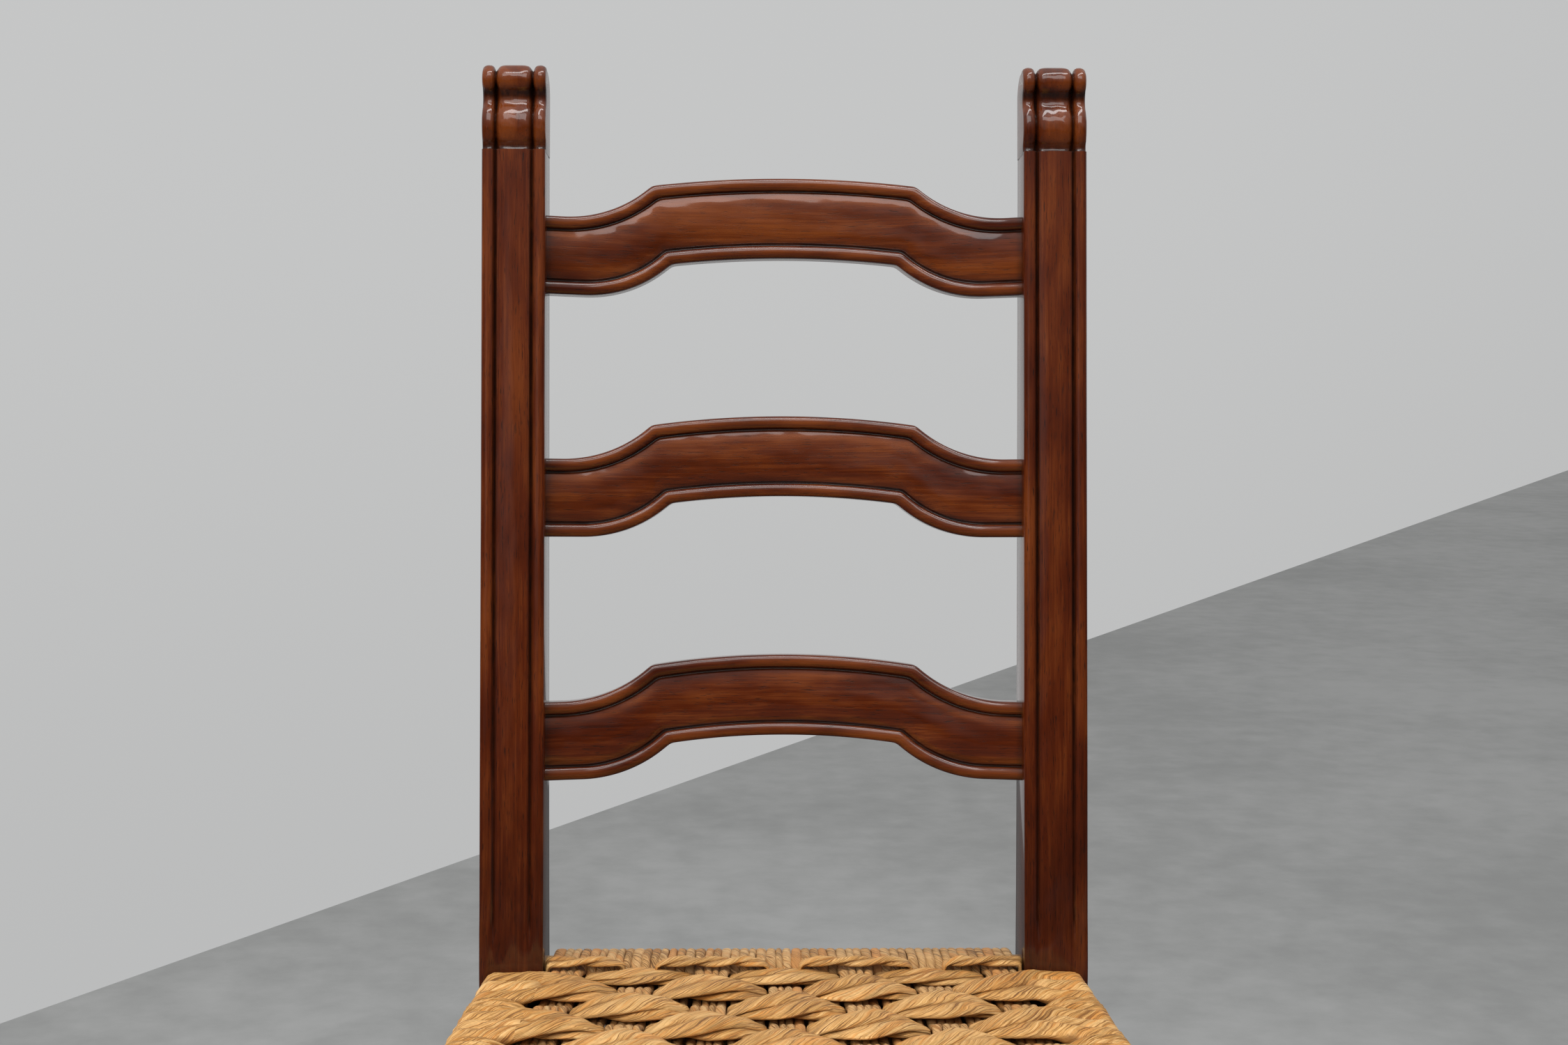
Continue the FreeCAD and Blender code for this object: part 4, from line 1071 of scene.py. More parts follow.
@dataclass
class Slat:
    """Serpentine board with edge beads, quirks and a pillowed field, straight or bowed."""

    name: str
    node: str
    base: float
    half: float
    bow: float
    setback: float
    raked: bool
    thickness: float = 19.0
    height: float = 56.0
    bead: float = 9.0
    quirk: float = 2.2
    upper: Edge = Edge(96.0, 25.2, 32.5)
    lower: Edge = Edge(82.0, 24.6, 30.1)
    # worn lightening and painted sheen over the whole field; higher slats get more, so they read
    # lighter
    wear_and_sheen: float = 0.25

    def stations(self) -> Array:
        """Places along the board, close together at the shoulders.

        Returns:
            Places from end to end, 1 mm into each upright.
        """
        reach = self.half + 1.0
        right = np.concatenate([np.linspace(0.0, 66.0, 24)[:-1], np.linspace(66.0, 118.0, 80)[:-1],
                                np.linspace(118.0, 158.0, 30)[:-1], np.linspace(158.0, reach, 9)])
        return np.concatenate([-right[:0:-1], right])

    def profile(self) -> tuple[Array, Array, Array, Array, Array]:
        """Front profile from the low edge up.

        Returns:
            Share of the upper edge (0 follows the low edge, 1 the upper), shift from
            that edge, depth, darkening and crest. Beads are half ellipses, quirks rounded
            Vs, and the field is a pillow whose drop grows with the power 2.5 of the
            distance from its middle. Dark glazing and painted shade darken the quirks and the
            beads' inner edges, painted shade darkens the field's edges, most at the low one, and
            the crest lightens the worn bead crests and paints a highlight along the field's upper
            edge, over the board's own lift of worn lightening and painted sheen.
        """
        t = np.linspace(-1.0, 1.0, 15)
        bead_s = self.bead / 2.0 * (1.0 + np.sin(t * math.pi / 2.0))
        bead_d = 3.4 * quarter_round(np.abs(np.sin(t * math.pi / 2.0))) + 0.1
        q = np.linspace(0.0, 1.0, 7)[1:]
        quirk_s = self.bead + self.quirk * q
        quirk_d = np.array([3.35, 3.5, 3.4, 3.0, 2.6, 2.2])
        rim = self.bead + self.quirk
        f = (1.0 - np.cos(np.linspace(0.0, math.pi, 31))) / 2.0
        pillow = 0.35 + 1.9 * np.abs(2.0 * f - 1.0) ** 2.5
        # dark glazing and painted shade on the bead's edge next to the quirk
        bead_glaze_shade = np.clip((np.abs(t) - 0.86) * 7.0, 0.0, 1.0) * (t > 0)
        shares = np.concatenate([np.zeros(21), f[1:-1], np.ones(21)])
        shifts = np.concatenate([bead_s, quirk_s, np.full(29, rim), quirk_s[::-1], bead_s[::-1]])
        depths = np.concatenate([bead_d, quirk_d, pillow[1:-1], quirk_d[::-1], bead_d[::-1]])
        # dark glazing and painted shade in the quirk
        quirk_glaze_shade = np.array([1.0, 1.0, 1.0, 1.0, 0.85, 0.5])
        field = f[1:-1]
        # painted shade along the field's edges, stronger at the low edge, which faces down
        field_edge_shade = (0.45 * np.exp(-((field / 0.055) ** 2))
                   + 0.25 * np.exp(-(((1.0 - field) / 0.03) ** 2)))
        glaze_and_shade = np.concatenate([bead_glaze_shade, quirk_glaze_shade, field_edge_shade, quirk_glaze_shade[::-1], bead_glaze_shade[::-1]])
        bead_c = np.exp(-((t / 0.35) ** 2))
        # painted highlight along the field's upper edge, on top of the board's worn lightening and
        # painted sheen
        field_sheen_and_wear = 0.9 * np.exp(-(((field - 0.90) / 0.07) ** 2)) + self.wear_and_sheen
        crest = np.concatenate([bead_c, quirk_glaze_shade * 0.0, field_sheen_and_wear, quirk_glaze_shade * 0.0, bead_c[::-1]])
        return shares, shifts, depths, glaze_and_shade, crest

    def build(self, material: bpy.types.Material, slot: Slot, seed: int) -> None:
        """Make the board and put it in place of its CAD node.

        Args:
            material: Its finish.
            slot: Passed on to dress(), which does not use it.
            seed: Seed of the unevenness and place of the grain.
        """
        x = self.stations()
        share, shift, depth, glaze_and_shade, crest = self.profile()
        arris = 1.0
        deep = self.thickness
        share = np.concatenate([share, [1.0, 1.0, 1.0, 0.5, 0.0, 0.0, 0.0]])
        shift = np.concatenate([shift, [0.0, 0.0, arris, 0.0, arris, 0.0, 0.0]])
        depth = np.concatenate([depth, [8.0, deep - arris, deep, deep, deep, deep - arris, 8.0]])
        glaze_and_shade = np.concatenate([glaze_and_shade, np.zeros(7)])
        crest = np.concatenate([crest, np.full(7, 0.1)])
        columns = x[:, None]
        low = self.lower.height(columns, self.base, shift[None, :])
        high = self.upper.height(columns, self.base + self.height, -shift[None, :])
        z = low + (high - low) * share[None, :]
        deep_grid = np.broadcast_to(depth, z.shape)
        across = np.broadcast_to(columns, z.shape)
        wobble = ripple(np.stack([across * 0.5, deep_grid, z], -1), 13.0, seed) * 0.06
        deep_grid = deep_grid + wobble
        if self.bow > 0.0:
            radius = (self.half**2 + self.bow**2) / (2.0 * self.bow)
            y = self.bow - radius + np.sqrt((radius + deep_grid) ** 2 - across**2)
        else:
            y = deep_grid
        grid = np.stack([across, y + self.setback, z], -1)
        if self.raked:
            grid[..., 2] += CHAIR.seat_height
            grid = lean(grid, CHAIR.rake, CHAIR.seat_height)
        # painted shade: each slat darkens over its last 5 mm, where it meets the post
        ends = smoothstep(self.half - np.abs(x), 5.0, 0.0)
        hollow = np.clip(glaze_and_shade[None, :] + 0.5 * ends[:, None], 0.0, 1.0)
        grain = np.stack([z - self.base, deep_grid, across], -1) * MM + seed * SLAT_GRAIN_SHIFT
        book = MeshBook()
        book.add(grid, np.linspace(0.0, 0.15, len(share) + 1), x * MM, hollow=hollow,
                 crest=np.broadcast_to(crest, z.shape), grain=grain)
        dress(book.build(self.name, sharp=40.0), material, slot, self.node)


@dataclass(frozen=True)
class Weave:
    """Sizes of the woven seat in mm, and the places that follow from them."""

    groups: int = 13
    cords: int = 4
    cord_thick: float = 5.5
    group_gap: float = 3.6
    edge_room: float = 5.6
    clearance: float = 0.3
    rail_top: float = 461.2
    rail_height: float = 40.4
    side_top: float = 452.0
    field_level: float = 450.5
    field_rear: float = 11.0
    field_front: float = -338.5
    rear_front: float = 23.0
    rear_back: float = 45.2
    front_back: float = -348.5
    front_front: float = -372.7
    ease: float = 3.0
    rows: int = 10
    pitch: float = 37.5
    first: float = 5.0
    crown: float = 7.6
    shoulder: float = 5.8
    pinch: float = 4.0
    wrap: float = 6.4
    neck: float = 20.0
    dive: float = 2.4
    narrow: float = 24.0
    end_gap: float = 1.0
    lip: float = 1.5
    bed: float = 0.6
    strand_width: float = 7.0
    strand_thick: float = 4.8
    standoff: float = 3.5
    slot_strand: float = 3.2
    side_half: float = 13.0
    side_x: float = 194.0
    flare: float = 0.0796
    leg_back: float = -327.5
    hump: float = 6.2
    hump_width: float = 8.4
    float_bulge: float = 1.9
    wrap_bulge: float = 3.3
    neck_swell: float = 2.2
    edge_shift: float = 3.2
    relief: float = 0.16
    seen_depth: float = 30.0

    def group_pitch(self, y: Array) -> Array:
        """Width of one group of cords, wider towards the front.

        Args:
            y: Depths.

        Returns:
            The width at each depth.
        """
        rear = 2.0 * (CHAIR.post_inner - self.edge_room) / self.groups
        front = 2.0 * (CHAIR.leg_inner - self.edge_room) / self.groups
        start, end = 33.0, -360.5
        return rear + (front - rear) * (start - y) / (start - end)

    @property
    def fan(self) -> float:
        """Change of the group's width with depth."""
        return float(self.group_pitch(1.0) - self.group_pitch(0.0))

    @property
    def over_level(self) -> float:
        """Underside of a weft that lies over the cords."""
        return self.field_level + self.cord_thick + self.clearance

    @property
    def under_level(self) -> float:
        """Top of a weft that passes under the cords."""
        return self.field_level - self.clearance

    @property
    def belly(self) -> float:
        """Top of the layer of wefts below the side rails."""
        return self.side_top - 40.0 - self.clearance


WEAVE = Weave()


def loop_steps(points: Array) -> tuple[Array, Array]:
    """Measure a closed line.

    Args:
        points: Its points.

    Returns:
        Distances from each point to the next, and along the line, with the total last.
    """
    gaps = np.linalg.norm(np.diff(np.concatenate([points, points[:1]]), axis=0), axis=1)
    return gaps, np.concatenate([[0.0], np.cumsum(gaps)])


def smooth_loop(values: Array, spread: float) -> Array:
    """Blur closed sequences with a Gaussian.

    Args:
        values: Rows of numbers, one row a station.
        spread: The Gaussian's spread, in stations.

    Returns:
        The blurred rows.
    """
    reach = max(int(spread * 3.0), 1)
    taps = np.arange(-reach, reach + 1)
    weights = np.exp(-0.5 * (taps / spread) ** 2)
    weights /= weights.sum()
    return sum(w * np.roll(values, int(k), axis=0) for w, k in zip(weights, taps))


def resample_loop(values: Array, places: Array, step: Array) -> tuple[Array, Array]:
    """Even out a closed sequence of stations.

    Args:
        values: Rows of numbers, one row a station.
        places: Points that give the distance between stations, one a station.
        step: Wanted distance between new stations at each old one.

    Returns:
        The new rows and the distance along the loop of each, with the total last.
    """
    gaps, along = loop_steps(places)
    density = np.concatenate([[0.0], np.cumsum(gaps / step)])
    count = max(int(density[-1]), 8)
    wanted = np.interp(np.arange(count + 1) * density[-1] / count, density, along)
    rows = np.concatenate([values, values[:1]])
    fresh = [np.interp(wanted[:-1], along, column) for column in rows.T]
    return np.stack(fresh, 1), wanted


@dataclass
class WarpGroup:
    """Four rolled cords side by side, looped round both end rails."""

    index: int
    around: int = 14
    girth_uv: float = 0.0175

    def path(self) -> Array:
        """Middle line of a cord, rounded at the rails' corners.

        Returns:
            Points of a closed line in side view.
        """
        w = WEAVE
        r = w.cord_thick / 2.0
        top, low = w.rail_top + r, w.rail_top - w.rail_height - r
        rear, front = w.rear_back + r, w.front_front - r
        field_z = w.field_level + r
        line = np.array([(w.rear_front - 0.5, top), (w.field_rear, field_z),
                         (w.field_front, field_z), (w.front_back + 0.5, top),
                         (front + w.ease, top), (front, top - w.ease), (front, low), (rear, low),
                         (rear, top - w.ease), (rear - w.ease, top)])
        dense, _ = resample_loop(line, line, np.ones(len(line)))
        return smooth_loop(dense, 2.6)[::3]

    def lift(self, path: Array) -> Array:
        """Rise of the cords where a weft passes under them, one soft hump a row.

        Args:
            path: Middle line of a cord.

        Returns:
            The rise in mm at each point.
        """
        w = WEAVE
        rows = [row for row in map(WeftRow, range(w.rows + 2)) if self.index in UNDER[row.kind]]
        humps = [w.hump * np.exp(-(((path[:, 0] - row.y) / w.hump_width) ** 2))
                 for row in rows if not row.edge]
        top = path[:, 1] > w.field_level
        return sum(humps) * top if humps else path[:, 0] * 0.0

    def build(self, material: bpy.types.Material) -> None:
        """Make the cords and put them in place of their CAD node.

        Args:
            material: Their finish.
        """
        w = WEAVE
        rng = np.random.default_rng(100 + self.index)
        path = self.path()
        m = len(path)
        _, along = loop_steps(path)
        tangent = np.roll(path, -1, 0) - np.roll(path, 1, 0)
        tangent /= np.linalg.norm(tangent, axis=1, keepdims=True)
        normal = np.stack([tangent[:, 1], -tangent[:, 0]], 1)
        if (normal * (path - path.mean(0))).sum() < 0.0:
            normal = -normal
        place = self.index - (w.groups - 1) / 2.0
        depth = path[:, 0]
        pitch = w.group_pitch(depth)
        on_rail = np.maximum(smoothstep(depth, 3.0, 11.0), smoothstep(depth, -331.0, -339.0))
        level = path[:, 1] + self.lift(path)
        width = pitch - w.group_gap + 0.4 + (w.group_gap - 0.5) * on_rail
        theta = np.arange(self.around) * math.tau / self.around
        ring = np.arange(self.around + 1) / self.around * self.girth_uv
        turn = math.tau * along[:-1] / along[-1]
        book = MeshBook()
        bounds = np.arange(w.cords + 1) / w.cords - 0.5
        bounds[1:-1] += rng.uniform(-0.035, 0.035, w.cords - 1)
        for start, end in zip(bounds[:-1], bounds[1:]):
            across = (start + end) / 2.0
            phase = rng.uniform(0.0, math.tau, 4)
            sway = 0.35 * np.sin(9.0 * turn + phase[0]) + 0.3 * np.sin(23.0 * turn + phase[1])
            swell = 0.05 * np.sin(14.0 * turn + phase[2]) + 0.04 * np.sin(31.0 * turn + phase[3])
            swell = (1.0 + swell) * rng.uniform(0.95, 1.05)
            centre = place * pitch + across * width + sway * 0.6
            half_w = width * (end - start) / 2.0 * 1.06 * swell
            half_t = w.cord_thick / 2.0 * (0.94 + 0.06 * swell) * (1.0 - 0.2 * on_rail)
            count = max(round(along[-1] / rng.uniform(26.0, 38.0)), 1)
            helix = theta[None, :] + rng.uniform(0.0, FULL_TURN) + count * turn[:, None]
            fold = np.exp(-((np.mod(helix, math.tau) - math.pi) / 0.34) ** 2)
            ridge = 0.03 * np.sin(3.0 * helix + phase[1]) + 0.02 * np.sin(7.0 * helix + phase[2])
            shape = 1.0 - 0.07 * fold + ridge
            squash = np.abs(np.cos(theta)) ** 0.85 * np.sign(np.cos(theta))
            side = squash[None, :] * half_w[:, None] * shape
            lift = np.sin(theta)[None, :] * half_t[:, None] * shape
            y = depth[:, None] + normal[:, 0][:, None] * lift
            x = centre[:, None] + side + place * w.fan * (y - depth[:, None])
            z = level[:, None] + normal[:, 1][:, None] * lift
            tone = np.full((m, self.around), rng.uniform(0.0, 1.0))
            # painted shade in the folds of the rolled cord and on its flanks, where neighbouring
            # cords touch
            flank = smoothstep(np.abs(np.cos(theta)), 0.86, 1.0)[None, :]
            hollow = np.clip(fold * 0.28 + flank * 0.25, 0.0, 1.0)
            book.add(np.stack([x, y, z], -1), ring, along * MM, loop=True, tone=tone, hollow=hollow)
        name = f"warp_cords_{self.index + 1:02d}"
        dress(book.build(name), material, Slot.WARP, f"warp_group_{self.index + 1:02d}")


UNDER = {"outer": (0, 4, 8, 12), "inner": (2, 6, 10)}


@dataclass(frozen=True)
class Twist:
    """How the strands of a weft are twisted together.

    Reach and size are shares of the bundle's half width, for a strand's centre and for
    its radius. Turns are those of the bundle over the seat, lay is the length in mm of
    one turn of the fibres, girth the UV width round a strand in metres, and blur the
    spread of the smoothing in stations.
    """

    strands: int
    around: int
    reach: float
    size: float
    turns: float
    lay: float
    girth: float
    blur: float


FAT = Twist(3, 36, 0.50, 0.52, 2.0, 62.0, 0.060, 1.7)
THIN = Twist(2, 18, 0.42, 0.58, 6.0, 34.0, 0.030, 1.3)


@dataclass
class WeftRow:
    """One weft: a bundle of loosely twisted strands, over three groups and under one."""

    index: int
    stations: list = field(default_factory=list)

    @property
    def kind(self) -> str:
        """Which set of groups the row passes under."""
        return "outer" if self.index % 2 else "inner"

    @property
    def edge(self) -> bool:
        """Whether the row is the thin strand at the front or rear edge."""
        return self.index in (0, WEAVE.rows + 1)

    @property
    def between(self) -> bool:
        """Whether the row turns down beside an upright, and not round a side rail."""
        return self.index <= 1 or self.index >= WEAVE.rows

    @property
    def twist(self) -> Twist:
        """How its strands are twisted."""
        return THIN if self.edge else FAT

    @property
    def y(self) -> float:
        """Centre line of the row.

        Returns:
            Its depth in mm.
        """
        if self.index == 0:
            return WEAVE.field_rear + WEAVE.standoff
        if self.index == WEAVE.rows + 1:
            return WEAVE.field_front - WEAVE.standoff
        return WEAVE.first - WEAVE.pitch * (self.index - 1)

    def span(self, half: float) -> tuple[float, float]:
        """Front and rear edges, kept inside the field.

        Args:
            half: Wanted half width.

        Returns:
            Depths of the front and the rear edge.
        """
        w = WEAVE
        if self.edge:
            return self.y - w.strand_width / 2.0, self.y + w.strand_width / 2.0
        return max(self.y - half, w.field_front + w.bed), min(self.y + half, w.field_rear - w.bed)

    def over(self, crown: float) -> tuple[float, float]:
        """Levels where the row lies over the cords.

        Args:
            crown: Thickness of a fat row there.

        Returns:
            Upper and lower level. A thin row lies on the slope up to the rail's top.
        """
        w = WEAVE
        if not self.edge:
            return w.over_level + crown, w.over_level
        slope = math.atan2(w.rail_top - w.field_level, 12.0)
        rise = w.field_level + w.cord_thick / math.cos(slope) + 2.0 * w.clearance
        low = rise + (w.standoff + w.strand_width / 4.0) * math.tan(slope)
        middle = rise + (w.standoff + w.strand_width / 2.0) * math.tan(slope)
        return max(low + w.strand_thick, 2.0 * middle - low), low

    def put(self, outer: tuple, inner: tuple, span: tuple, slope: float) -> None:
        """Add a station: outer and inner points in front view, edges and slant of X with Y."""
        self.stations.append([*outer, *inner, *span, slope])

    def fan_x(self, place: float, shift: float, span: tuple) -> float:
        """X at the middle of a span, on a line that fans out with the cords."""
        return place * float(WEAVE.group_pitch(sum(span) / 2.0)) + shift

    def dive(self, group: int) -> None:
        """Add the stations where the row passes under one group.

        Args:
            group: Number of the group. The outermost groups lose the stations that the
                turn at the side stands for.
        """
        w = WEAVE
        start, end = group - w.groups / 2.0, group + 1.0 - w.groups / 2.0
        neck = self.span(w.neck / 2.0)
        over = self.over(w.lip)[1]
        low = w.under_level - w.pinch
        half = w.dive / 2.0
        high, deep = (over + w.lip, over), (w.under_level, low)
        found = []
        for place, side, (top, under) in ((start, 1.0, high), (start, 1.0, deep),
                                          (end, -1.0, deep), (end, -1.0, high)):
            found.append(((self.fan_x(place, side * half, neck), top),
                          (self.fan_x(place, -side * half, neck), under), neck, place * w.fan))
        drop = 2 if self.between else 1
        if group == 0:
            found = found[drop:]
        if group == w.groups - 1:
            found = found[:-drop]
        for one in found:
            self.put(*one)

    def float(self, group: int) -> None:
        """Add the station where the row lies over one group, widest where neighbours dive.

        Args:
            group: Number of the group.
        """
        w = WEAVE
        place = group - (w.groups - 1) / 2.0
        wide = group in UNDER["inner" if self.kind == "outer" else "outer"]
        half = w.pitch - w.neck / 2.0 - w.bed if wide else w.pitch / 2.0 - w.clearance
        top, low = self.over(w.crown if wide else w.shoulder)
        span = self.span(half)
        x = self.fan_x(place, 0.0, span)
        self.put((x, top), (x, low), span, place * w.fan)

    def wrap_span(self) -> tuple[float, float]:
        """Edges where the row wraps a side rail: narrow and wide rows take turns.

        Returns:
            Depths of the front and the rear edge, clear of the uprights.
        """
        w = WEAVE
        half = w.narrow / 2.0 if self.kind == "outer" else w.pitch - w.narrow / 2.0
        low, high = self.y - half, self.y + half
        if self.index == 2:
            high = CHAIR.post_front - w.end_gap
        if self.index == w.rows - 1:
            low = w.leg_back + w.end_gap
        return low + w.clearance, high - w.clearance

    def turn(self, side: float) -> list:
        """Stations where the row turns down at one side.

        Args:
            side: -1 on the left, 1 on the right.

        Returns:
            Rows of a station's seven numbers, from the top down.
        """
        w = WEAVE
        belly = w.belly - w.wrap
        if self.between:
            low, high = self.span(w.neck / 2.0)
            if self.index == 1:
                low = CHAIR.post_front - w.end_gap + w.clearance
            if self.index == w.rows:
                high = w.leg_back + w.end_gap - w.clearance
            inner = CHAIR.post_inner if self.index <= 1 else CHAIR.leg_inner
            far, near = side * (inner - w.bed), side * (inner - w.slot_strand - w.bed)
            if self.kind == "outer":
                top, under = w.under_level, w.under_level - w.pinch
            else:
                top, under = self.over(w.shoulder)
            return [[far, top, near, under, low, high, 0.0],
                    [far, belly, near, w.belly, low, high, 0.0]]
        low, high = self.wrap_span()
        mid = w.side_x - w.flare * (low + high) / 2.0
        slope = -side * w.flare
        face = w.side_half + w.clearance
        lap = w.side_top + w.clearance
        inner_x, outer_x, flank = w.ease - w.side_half, w.side_half - w.ease, face + w.wrap
        bottom = w.side_top - 40.0
        rows = [(inner_x, lap + w.wrap, inner_x, lap), (outer_x, lap + w.wrap, outer_x, lap),
                (flank, w.side_top - w.ease, face, w.side_top - w.ease),
                (flank, bottom + w.ease, face, bottom + w.ease), (outer_x, belly, outer_x, w.belly)]
        return [[side * (mid + a), b, side * (mid + c), d, low, high, slope] for a, b, c, d in rows]

    def route(self) -> Array:
        """All stations round the loop, from the left side over the seat and back below.

        Returns:
            One row of seven numbers a station, as put() takes them.
        """
        w = WEAVE
        lands = self.kind == "inner" and not self.between
        top, low = self.over(w.shoulder)
        for side in (-1.0, 1.0):
            if side > 0.0:
                for group in range(w.groups):
                    if group in UNDER[self.kind]:
                        self.dive(group)
                    else:
                        self.float(group)
            if lands:
                span = self.wrap_span()
                x = self.fan_x(side * w.groups / 2.0, 0.0, span)
                self.put((x, top), (x, low), span, side * w.groups / 2.0 * w.fan)
        self.stations += self.turn(1.0) + list(reversed(self.turn(-1.0)))
        return np.array(self.stations)

    def even(self) -> tuple[Array, Array]:
        """Stations at even distances on a smoothed route, closer where they show.

        Returns:
            Rows of seven numbers, and distances along the loop with the total last.
        """
        w = WEAVE
        rows = self.route()
        middle = (rows[:, 0:2] + rows[:, 2:4]) / 2.0
        seen = middle[:, 1] > w.side_top - w.seen_depth
        dense, _ = resample_loop(rows, middle, np.where(seen, 1.2, 3.0))
        dense = smooth_loop(dense, self.twist.blur)
        middle = (dense[:, 0:2] + dense[:, 2:4]) / 2.0
        seen = middle[:, 1] > w.side_top - w.seen_depth
        return resample_loop(dense, middle, np.where(seen, 2.3, 5.0))

    def lie(self, middle: Array) -> tuple[Array, Array]:
        """How the strands lie round the loop.

        Args:
            middle: Middle points of the stations in front view.

        Returns:
            Share of lying side by side, 1 round the side rails and below the seat, and
            the angle through which the bundle has twisted, which grows evenly with X
            over the seat by whole turns and stays put below.
        """
        w = WEAVE
        reach = CHAIR.post_inner - 6.0 if self.between else w.side_x - w.side_half
        below = middle[:, 1] < w.side_top - 12.0
        rail = smoothstep(np.abs(middle[:, 0]), reach - 22.0, reach + 2.0)
        flat = np.where(below, 1.0, rail * (not self.between))
        share = np.clip((middle[:, 0] + reach - 10.0) / (2.0 * (reach - 10.0)), 0.0, 1.0)
        turned = np.where(below & (middle[:, 0] > 0.0), 1.0, np.where(below, 0.0, share))
        return flat, math.tau * self.twist.turns * turned

    def build(self, material: bpy.types.Material) -> None:
        """Make the strands and put them in place of their CAD node.

        Args:
            material: Their finish.
        """
        w, twist = WEAVE, self.twist
        strands, around = twist.strands, twist.around
        rng = np.random.default_rng(500 + self.index)
        rows, along = self.even()
        m = len(rows)
        mid = (rows[:, 0:2] + rows[:, 2:4]) / 2.0
        half_t = (rows[:, 0:2] - rows[:, 2:4]) / 2.0
        thick = np.linalg.norm(half_t, axis=1)
        up = half_t / np.maximum(thick, 1e-6)[:, None]
        yc, half_w = (rows[:, 4] + rows[:, 5]) / 2.0, (rows[:, 5] - rows[:, 4]) / 2.0
        slope = rows[:, 6]
        angle = math.tau * along[:-1] / along[-1]
        theta = np.arange(around) * math.tau / around
        girth = np.arange(around + 1) / around * twist.girth
        flat, turned = self.lie(mid)
        bulge = w.float_bulge * smoothstep(half_w, 12.0, 24.0) * (1.0 - flat)
        bulge = bulge + w.wrap_bulge * flat * np.clip(up[:, 1], 0.0, 1.0) ** 2
        half_w = half_w + w.neck_swell * (1.0 - smoothstep(half_w, 10.0, 17.0)) * (1.0 - flat)
        if self.edge:
            over = smoothstep(mid[:, 1], w.field_level + 2.0, w.field_level + 9.0)
            flat, bulge, half_w = flat * 0.0, 0.8 * over, half_w * (0.55 + 0.85 * over)
            yc = yc + math.copysign(w.edge_shift, self.index - 1.0) * over
        loose = 1.0 - flat
        sway = 0.35 * np.sin(5.0 * angle + rng.uniform(0.0, FULL_TURN)) * loose
        starts = math.tau * (np.arange(strands) + 0.25) / strands
        order = np.argsort(np.argsort(np.cos(starts)))
        lay = max(round(along[-1] / twist.lay), 1)
        book = MeshBook()
        for strand in range(strands):
            phi = starts[strand] - turned + sway
            side_u = (2.0 * order[strand] + 1.0) / strands - 1.0
            jog = 0.10 * np.sin(7.0 * angle + rng.uniform(0.0, FULL_TURN)) / strands
            centre_u = loose * twist.reach * np.cos(phi) + flat * (side_u + jog)
            centre_v = loose * twist.reach * np.sin(phi)
            plump = 1.0 + 0.07 * np.sin(7.0 * angle + rng.uniform(0.0, FULL_TURN))
            plump = plump * rng.uniform(0.93, 1.07)
            wide_u = (loose * twist.size + flat * 1.12 / strands) * plump
            wide_v = (loose * twist.size + flat * 0.97) * plump
            fibre = theta[None, :] + lay * angle[:, None]
            waves = np.zeros((m, around))
            for k in (3, 5, 8, 11):
                drift = 0.9 * np.sin(rng.integers(3, 9) * angle + rng.uniform(0.0, FULL_TURN))
                crest = k * fibre + drift[:, None] + rng.uniform(0.0, FULL_TURN)
                waves += np.sin(crest) / math.sqrt(k)
            grain = 1.0 + waves * 0.020
            disc_u = centre_u[:, None] + wide_u[:, None] * np.cos(theta)[None, :] * grain
            disc_v = centre_v[:, None] + wide_v[:, None] * np.sin(theta)[None, :] * grain
            raised = disc_v * (thick + bulge)[:, None] + bulge[:, None] + waves * w.relief
            y = yc[:, None] + disc_u * half_w[:, None]
            x = (mid[:, 0][:, None] + up[:, 0][:, None] * raised
                 + slope[:, None] * (y - yc[:, None]))
            z = mid[:, 1][:, None] + up[:, 1][:, None] * raised
            # painted shade: darker in the fibre troughs, on the strands' sides towards the bundle's
            # middle and where strands lie side by side
            seam = np.abs(np.cos(theta))[None, :] * flat[:, None]
            deep = smoothstep(np.hypot(disc_u, disc_v), 0.80, 0.40) * loose[:, None]
            deep = deep + smoothstep(seam, 0.80, 1.0)
            hollow = np.clip(np.clip(-waves * 0.45, 0.0, 0.5) + deep, 0.0, 1.0)
            tone = np.full((m, around), rng.uniform(0.0, 1.0))
            book.add(np.stack([x, y, z], -1), girth, along * MM, loop=True,
                     tone=tone, hollow=hollow)
        name = f"weft_rush_{self.index + 1:02d}"
        dress(book.build(name), material, Slot.WEFT, f"weft_row_{self.index + 1:02d}")


@dataclass(frozen=True)
class Panel:
    """A soft rectangular lamp, with its place, its sides in metres and its watts."""

    name: str
    place: tuple
    size: tuple
    watts: float
    in_gloss: bool = True


PANELS = (Panel("window", (-2.2, -2.4, 2.5), (1.8, 1.8), 66.0, False),
          Panel("ceiling", (0.2, -0.25, 2.9), (2.2, 0.32), 22.0),
          Panel("front panel", (0.0, -1.35, 2.7), (2.0, 0.9), 19.0))


